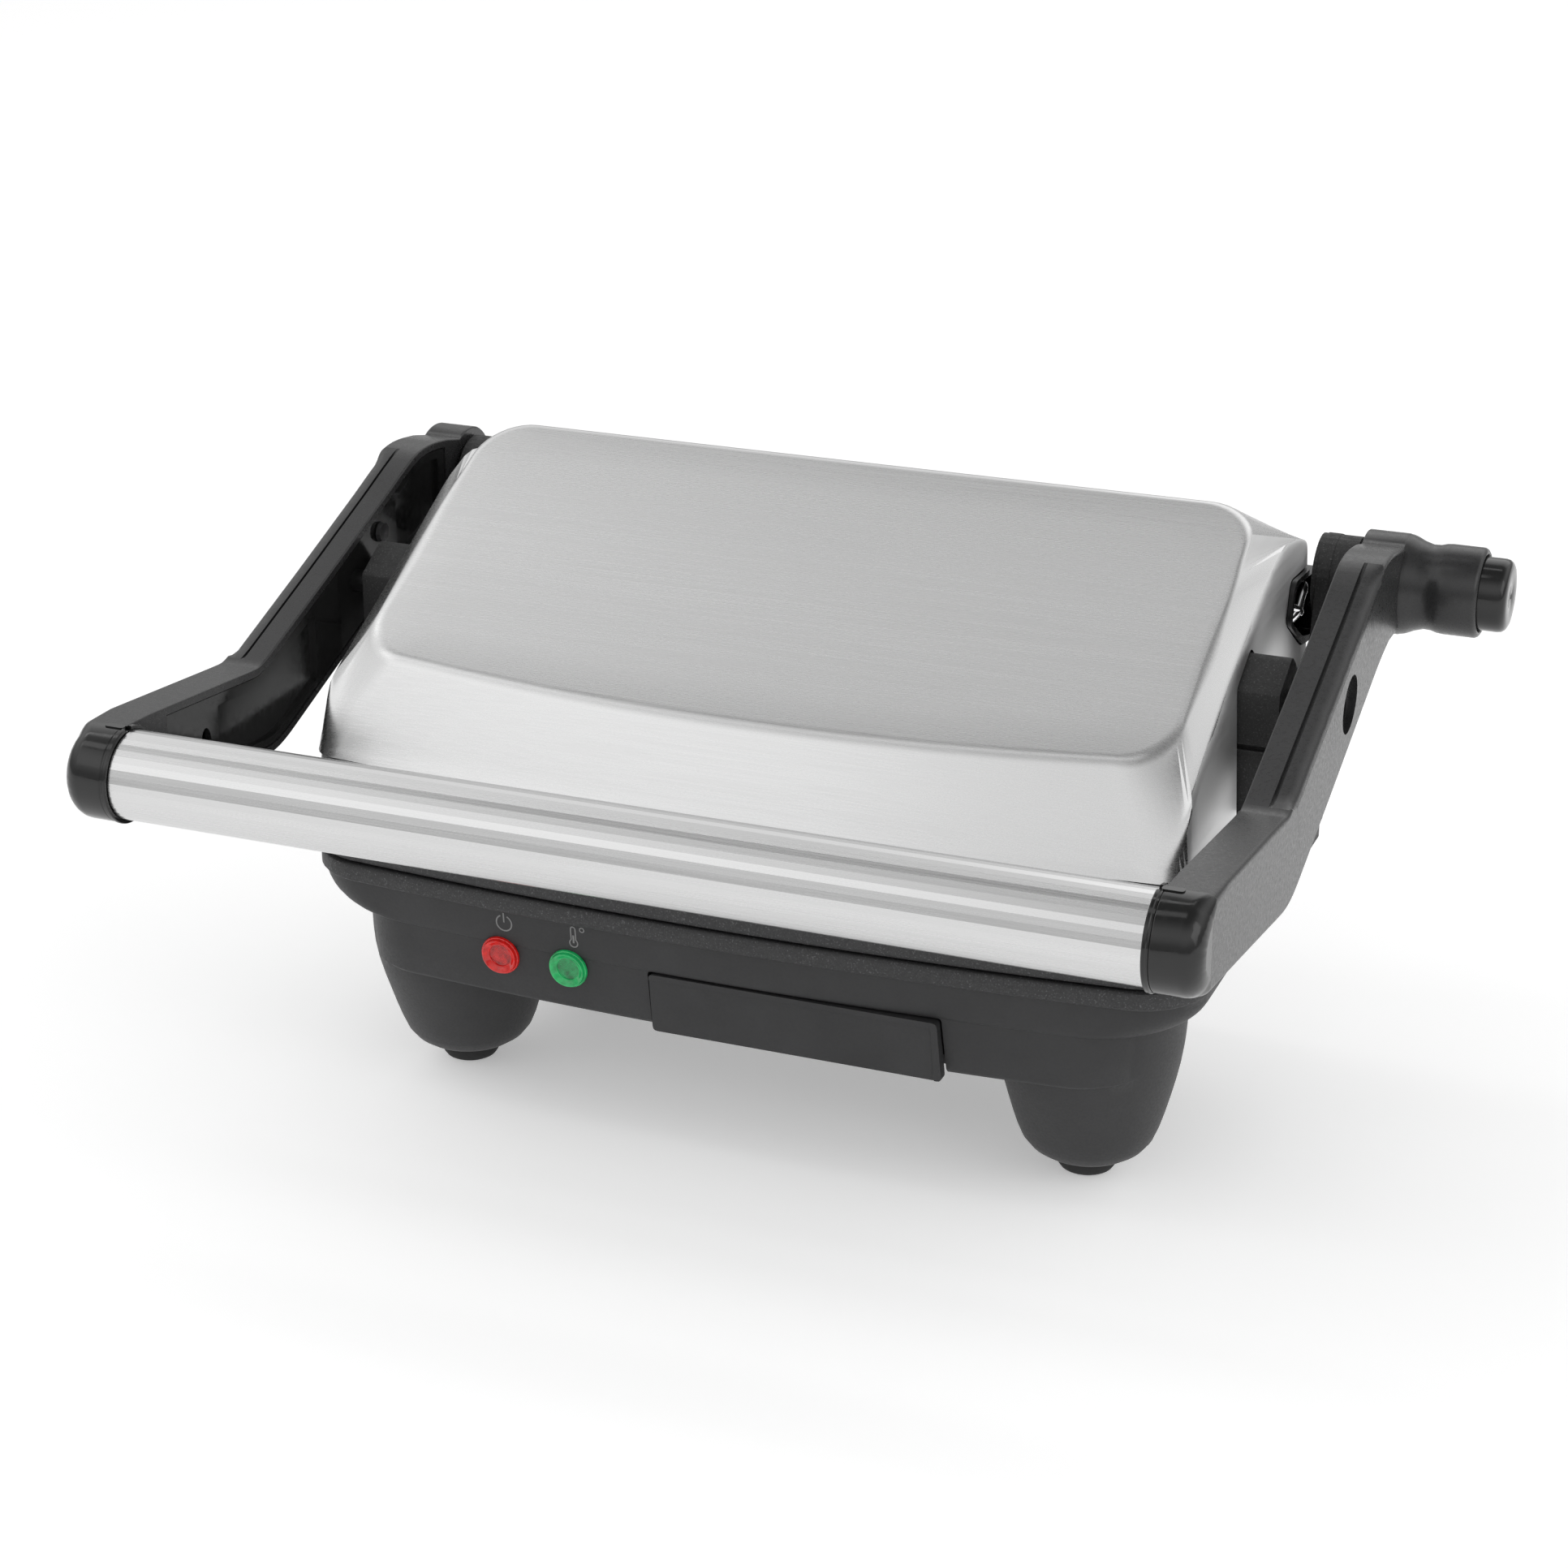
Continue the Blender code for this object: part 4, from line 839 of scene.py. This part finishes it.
SHOULDER_FRONT, SHOULDER_REAR, SHOULDER_WIDE, SHOULDER_IN = 169.5, 190, 124.2, RIM_WIDE - 6
SERVICE_OPENING = corners(-36, 128, 36, 178)
FOOT_BORE, LAMP_BORE, INLET_BORE, INLET = 3.0, 4.9, 5.3, (52.0, 191.0, 43.5)
SCREW_POSTS = [(x, y, 0) for y in (133.0, 182.0) for x in (-44.0, 44.0)]
SCREW_POST, SCREW_POST_BORE = 3.6, 1.7
TRAY_PANEL, TRAY_WALL, TRAY_BORDER = 3.0, 1.6, 0.35
POWER_ICON, HEAT_ICON = (-60.9, 57.6), (-40.6, 57.3)

# name, middle of the foot, and the side on which the leg flows into a wall
LEGS = [("front_left", -89.0, 95.0, -1), ("front_right", 89.0, 95.0, -1),
        ("rear_left", -76.0, 150.0, 1), ("rear_right", 76.0, 150.0, 1)]
# (height, radius across, radius towards the wall)
LEG_STATIONS = [(5.0, 8.6, 8.6), (5.3, 10.3, 10.3), (6.2, 12.7, 12.7), (8.0, 15.3, 15.3), (10.5, 17.2, 17.3),
                (14.0, 18.6, 18.9), (18.0, 19.8, 20.6), (23.0, 21.1, 22.7), (28.0, 22.3, 24.9),
                (33.0, 23.3, 26.8), (38.0, 24.0, 28.0), (42.0, 24.3, 28.4), (50.5, 24.6, 28.6)]
LEG_HOLLOW = [(8.0, 8.0, 8.0)] + LEG_STATIONS[5:]
FOOT = [(0, 9.0), (2.6, 9.0), (2.6, 4.7), (7.9, 4.7), (8.2, 4.3), (8.1, 3.2), (7.6, 1.7), (6.9, 0.7),
        (5.9, 0.15), (5.2, 0.0), (0, 0.0)]

LENS_RIM = [(3.0, -4.0), (3.0, 0.5), (3.15, 0.85), (3.45, 0.95), (4.1, 1.75), (4.45, 1.95), (4.75, 1.85),
            (4.95, 1.35), (5.0, 1.05), (5.25, 1.0), (5.35, 0.8), (5.4, 0.35), (4.4, 0.35), (4.4, -4.0)]
LENS_LEAN = math.radians(5)
LENS_GRID, LENS_RADIUS, LENS_LIFT, RIB_HEIGHT, RIB_PITCH = 33, 3.1, 0.62, 0.13, 8.6
PRINT_RISE, PRINT_SINK = 0.10, 0.02


def base_rings(inset, floor, top):
    """The casing's rings from its floor up to its rim, or those of its hollow."""
    profile = [(top, RIM_WIDE, RIM_FRONT, BASE_REAR)]
    if not inset:
        profile = [(top, RIM_WIDE - 0.8, RIM_FRONT + 0.8, BASE_REAR - 0.8),
                   (top - 0.3, RIM_WIDE - 0.2, RIM_FRONT + 0.2, BASE_REAR - 0.2),
                   (top - 0.9, RIM_WIDE, RIM_FRONT, BASE_REAR)]
    profile += [(RIM_BOTTOM + 0.4, RIM_WIDE, RIM_FRONT, BASE_REAR),
                (RIM_BOTTOM - 0.1, RIM_WIDE - 0.2, RIM_FRONT + 0.4, BASE_REAR - 0.2)]
    sweep, rear_sweep = RIM_WIDE - 0.6 - BODY_WIDE, BASE_REAR - 0.6 - BODY_REAR
    for i in range(11):
        turn = math.radians(9 * i)
        profile.append((FLANGE_TOP - (FLANGE_TOP - FLANGE_BOTTOM) * math.sin(turn), BODY_WIDE + sweep * math.cos(turn),
                        RIM_FRONT + 1.5 + 0.15 * i, BODY_REAR + rear_sweep * math.cos(turn)))
    profile += [(44.0, BODY_WIDE - 0.2, RIM_FRONT + 3.3, BODY_REAR),
                (floor + 1.0, BODY_WIDE - 0.5, RIM_FRONT + 3.6, BODY_REAR),
                (floor, BODY_WIDE - 1.3, RIM_FRONT + 4.4, BODY_REAR - 0.8)]
    rings = []
    for height, half_width, front, rear in reversed(profile):
        width, corner = half_width - inset, BASE_CORNER - inset
        bow = BOW * ((width - corner) / (RIM_WIDE - BASE_CORNER)) ** 2
        rings.append(plan_ring(width, front + inset, rear - inset, corner, height, bow))
    return rings


def panel_y(x, height):
    """How far back the front panel stands: leaning below the flange, and following its sweep above."""
    if height > FLANGE_BOTTOM:
        sweep = (FLANGE_TOP - height) / (FLANGE_TOP - FLANGE_BOTTOM)
        deep = 1.5 + 1.5 * math.asin(max(0.0, min(1.0, sweep))) / (math.pi / 2)
    else:
        deep = 3.0 + 0.6 * (FLANGE_BOTTOM - height) / (FLANGE_BOTTOM - BASE_FLOOR)
    return RIM_FRONT + deep + BOW * (x / (RIM_WIDE - BASE_CORNER)) ** 2


def leg_body(x, y, front, inset):
    """A leg that flows out of the casing's front or rear wall and narrows to its foot."""
    rings = []
    for z, across, forward in LEG_HOLLOW if inset else LEG_STATIONS:
        ring = []
        for a in full_turn(48):
            deep = forward if math.sin(a) * front > 0 else across
            ring.append(Vector((x + (across - inset) * math.cos(a), y + (deep - inset) * math.sin(a), z)))
        rings.append(ring)
    return skin(rings)


def build_base():
    plus, minus = [], [skin(base_rings(WALL, BASE_FLOOR + WALL, RIM_TOP + 5))]
    for _, x, y, front in LEGS:
        plus.append(leg_body(x, y, front, 0))
        minus.append(leg_body(x, y, front, WALL))
        minus.append(rod(FOOT_BORE, 0, 12, (x, y, 0), UP, 24))
    for side, _ in SIDES:
        low, high = mirrored(side, SHOULDER_IN, SHOULDER_WIDE)
        shoulder = softened(corners(low, SHOULDER_FRONT, high, SHOULDER_REAR), 1.5)
        plus.append(prism(shoulder, RIM_BOTTOM, RIM_TOP - 0.5, "Z"))
    opening = [(TRAY_LEFT - 0.5, TRAY_TOP + 0.5), (TRAY_LEFT + 0.6, TRAY_BOTTOM - 4),
               (TRAY_RIGHT + 0.9, TRAY_BOTTOM - 4), (TRAY_RIGHT - 1.1, TRAY_TOP + 0.5)]
    minus.append(prism(softened(opening, 0.8, 2), 40, 68.6, "Y"))
    minus.append(prism(SERVICE_OPENING, 30, 45, "Z"))
    for x, _, _ in LAMPS.values():
        minus.append(rod(LAMP_BORE, -8, 8, (x, panel_y(x, LAMP_HEIGHT), LAMP_HEIGHT), BACKWARD, 32))
    minus.append(rod(INLET_BORE, -15, 15, INLET, BACKWARD, 32))
    for post in SCREW_POSTS:
        plus.append(rod(SCREW_POST, 37, 46, post, UP, 16))
        minus.append(rod(SCREW_POST_BORE, 30, 44, post, UP, 16))
    body = body_from(skin(base_rings(0, BASE_FLOOR, RIM_TOP)), minus=minus, plus=plus)
    obj = piece("base_casing", body, "base", "casing_plastic", "base_housing", sharp=45)
    rim_line = (RIM_BOTTOM - 0.3) * MM
    second_look(obj, RIM, lambda face: face.center.z > rim_line)


def build_feet():
    for name, x, y, _ in LEGS:
        piece(name + "_rubber_foot", lathe(FOOT, (x, y, 0), UP, 40), "base", "rubber_foot", name + "_foot")


def ribbed_disc(place):
    """A round cap with a grid of small ribs, flat at its edge: a square grid mapped onto a disc."""
    mesh_data = bmesh.new()
    rows = []
    steps = [i / (LENS_GRID - 1) * 2 - 1 for i in range(LENS_GRID)]
    for u in steps:
        row = []
        for v in steps:
            px = u * math.sqrt(1 - v * v / 2) * LENS_RADIUS
            py = v * math.sqrt(1 - u * u / 2) * LENS_RADIUS
            ribs = RIB_HEIGHT * math.cos(px * RIB_PITCH) * math.cos(py * RIB_PITCH)
            lift = LENS_LIFT + ribs * (1 - max(abs(u), abs(v)) ** 6)
            row.append(mesh_data.verts.new(place @ Vector((px, py, lift))))
        rows.append(row)
    for first, second in zip(rows, rows[1:]):
        for j in range(LENS_GRID - 1):
            mesh_data.faces.new((first[j], second[j], second[j + 1], first[j + 1]))
    return facing_out(mesh_data)


def build_lenses():
    forward = Vector((0, -math.cos(LENS_LEAN), -math.sin(LENS_LEAN)))
    for name, (x, slot, centre) in LAMPS.items():
        point = (x, panel_y(x, LAMP_HEIGHT), LAMP_HEIGHT)
        piece(name + "_lens_rim", lathe(LENS_RIM, point, forward, 56), "base", slot, name + "_lamp_lens")
        piece(name + "_lens_middle", ribbed_disc(placed(point, forward)), "base", slot, look=centre, sharp=60)


def printed_line(name, points, width, closed=False):
    """A thin printed line on the front panel, from (x, z) points."""
    count = len(points)
    mesh_data = bmesh.new()
    rows = []
    for i, (x, z) in enumerate(points):
        if closed:
            before, after = points[(i - 1) % count], points[(i + 1) % count]
        else:
            before, after = points[max(i - 1, 0)], points[min(i + 1, count - 1)]
        run = Vector((after[0] - before[0], after[1] - before[1])).normalized()
        off = Vector((-run.y, run.x)) * width / 2
        row = []
        for sign, deep in ((1, 0.0), (1, PRINT_RISE), (-1, PRINT_RISE), (-1, 0.0)):
            px, pz = x + off.x * sign, z + off.y * sign
            row.append(mesh_data.verts.new((px, panel_y(px, pz) - deep + PRINT_SINK, pz)))
        rows.append(row)
    pairs = list(zip(rows, rows[1:])) + ([(rows[-1], rows[0])] if closed else [])
    for first, second in pairs:
        for k in range(4):
            j = (k + 1) % 4
            mesh_data.faces.new((first[k], first[j], second[j], second[k]))
    if not closed:
        mesh_data.faces.new(rows[-1])
        mesh_data.faces.new(list(reversed(rows[0])))
    piece(name, facing_out(mesh_data), "base", "casing_plastic", look=PRINT)


def build_icons():
    """Two generic symbols: on and off, and a thermometer with a degree ring."""
    x, z = POWER_ICON
    printed_line("icon_power_ring", arc((x, z), 2.25, 115, 425, 28), 0.38)
    printed_line("icon_power_bar", [(x, z + 0.2), (x, z + 3.0)], 0.38)
    x, z = HEAT_ICON
    stem = arc((x, z - 1.7), 1.15, 125, 415, 18) + arc((x, z + 2.4), 0.66, 0, 180, 8)
    printed_line("icon_heat_stem", stem, 0.34, True)
    printed_line("icon_heat_core", [(x, z - 1.7), (x, z + 0.6)], 0.5)
    printed_line("icon_heat_degree", arc((x + 2.6, z + 2.6), 0.62, 0, 345, 16), 0.3, True)


def build_tray():
    """The drip tray's front: a flat panel with a thin raised border, and the pan behind it."""
    front = [(TRAY_LEFT, TRAY_TOP), (TRAY_LEFT + 1, TRAY_BOTTOM), (TRAY_RIGHT, TRAY_BOTTOM),
             (TRAY_RIGHT - 1.6, TRAY_TOP)]
    panel = prism(softened(front, 1.2, 3), TRAY_FRONT, TRAY_FRONT + TRAY_PANEL, "Y")
    pan = prism(corners(TRAY_LEFT + 2, PAN_BOTTOM, TRAY_RIGHT - 2.6, 49), TRAY_FRONT + 2, PAN_REAR, "Y")
    hollow = prism(corners(TRAY_LEFT + 3.6, PAN_BOTTOM + TRAY_WALL, TRAY_RIGHT - 4.2, 56),
                   TRAY_FRONT + TRAY_PANEL + TRAY_WALL, PAN_REAR - TRAY_WALL, "Y")
    recess = [(TRAY_LEFT - 3, TRAY_TOP - 1.5), (TRAY_LEFT - 3, TRAY_BOTTOM - 3),
              (TRAY_RIGHT - 1.7, TRAY_BOTTOM - 3), (TRAY_RIGHT - 3.2, TRAY_TOP - 1.5)]
    face = prism(recess, TRAY_FRONT - 2, TRAY_FRONT + TRAY_BORDER, "Y")
    body = body_from(panel, minus=[hollow, face], plus=[pan])
    obj = piece("drip_tray_body", body, "drip_tray", "casing_plastic", "drip_tray", sharp=40)
    bevel(obj, 0.35, 3, 50)


build_lid()
build_frame()
build_blocks()
for arm_side, arm_name in SIDES:
    build_arm(arm_side, arm_name)
    build_arm_cover(arm_side, arm_name)
build_barrel_and_button()
build_base()
build_feet()
build_lenses()
build_icons()
build_tray()

# the CAD nodes that stay
# the arm screws take the dark screw steel, painted shade for their recesses; the others keep their slots' looks
for name, obj in NODES.items():
    dress(obj, SCREW_STEEL_PAINTED_DARK if "arm_screw" in name else SLOT_LOOKS[SLOTS[name]], 35)

# ---------------------------------------------------------------- stage, light and camera

FLOOR_REACH, FLOOR_DROP = 9.0, 0.0003
# brightness of the surroundings by the Z of the direction
SKY = [(0.0, 0.40), (0.18, 0.48), (0.40, 0.95), (0.55, 1.08), (0.70, 0.95), (0.80, 0.60), (0.90, 0.28), (1.0, 0.22)]
# name, place, width, depth, power; each lamp's width runs along X, and it faces LIT
LIGHTS = [("key", (-1.1, -1.3, 1.5), 1.3, 1.3, 1.6), ("fill", (1.5, -0.5, 0.9), 1.0, 1.0, 3.0),
          ("back", (0.2, 1.6, 1.3), 1.4, 1.4, 2.5), ("strip", (-0.33, 0.26, 1.0), 1.3, 0.10, 0.55),
          ("overhead", (-0.44, -0.26, 1.15), 1.2, 0.22, 0.8)]
LIT = Vector((0, 0, 0.08))
LENS, SENSOR = 78.48, 36
CAMERA_BACK = Vector((0.34430, -0.86133, 0.37361))
CAMERA_RIGHT = Vector((0.92856, 0.37118, 0))
CAMERA_PLACE = Vector((2.36983, -5.11330, 2.39668))     # from the bar's middle, in halves of its length


def stand(name, data, place, right, back):
    """A lamp or camera at a place, with its X along right, looking away from back."""
    obj = bpy.data.objects.new(name, data)
    SCENE.collection.objects.link(obj)
    obj.matrix_world = Matrix.Translation(place) @ Matrix((right, back.cross(right), back)).transposed().to_4x4()
    return obj


def build_floor():
    mesh = bpy.data.meshes.new("floor")
    mesh.from_pydata([(x, y, 0) for x, y in corners(-FLOOR_REACH, -FLOOR_REACH, FLOOR_REACH, FLOOR_REACH)],
                     [], [(0, 1, 2, 3)])
    floor = bpy.data.objects.new("floor", mesh)
    SCENE.collection.objects.link(floor)
    floor.location.z = -FLOOR_DROP
    m = Nodes("pale_floor", grey(0.93), 0.9)
    m.set("Specular IOR Level", 0.1)
    m.set("Emission Color", (1, 1, 1, 1))
    m.set("Emission Strength", 0.32)
    mesh.materials.append(m.material)


def build_surroundings():
    world = bpy.data.worlds.new("studio")
    SCENE.world = world
    world.use_nodes = True
    tree = world.node_tree
    place = tree.nodes.new("ShaderNodeTexCoord")
    parts = tree.nodes.new("ShaderNodeSeparateXYZ")
    ramp = tree.nodes.new("ShaderNodeValToRGB")
    fill_ramp(ramp, [(z, grey(level)) for z, level in SKY])
    tree.links.new(place.outputs["Generated"], parts.inputs["Vector"])
    tree.links.new(parts.outputs["Z"], ramp.inputs["Fac"])
    tree.links.new(ramp.outputs["Color"], tree.nodes["Background"].inputs["Color"])


def build_lights():
    for name, place, width, depth, power in LIGHTS:
        light = bpy.data.lights.new(name, "AREA")
        light.shape = "RECTANGLE"
        light.size = width
        light.size_y = depth
        light.energy = power
        back = (Vector(place) - LIT).normalized()
        across = (Vector((1, 0, 0)) - back * back.x).normalized()
        stand(name, light, place, across, back)


def build_camera():
    """A three-quarter view from the front right, slightly above."""
    data = bpy.data.cameras.new("camera")
    data.lens = LENS
    data.sensor_width = SENSOR
    place = BAR + CAMERA_PLACE * (BAR_HIGH.x - BAR_LOW.x) / 2
    SCENE.camera = stand("camera", data, place, CAMERA_RIGHT.normalized(), CAMERA_BACK.normalized())


build_floor()
build_surroundings()
build_lights()
build_camera()
SCENE.view_settings.view_transform = "Standard"
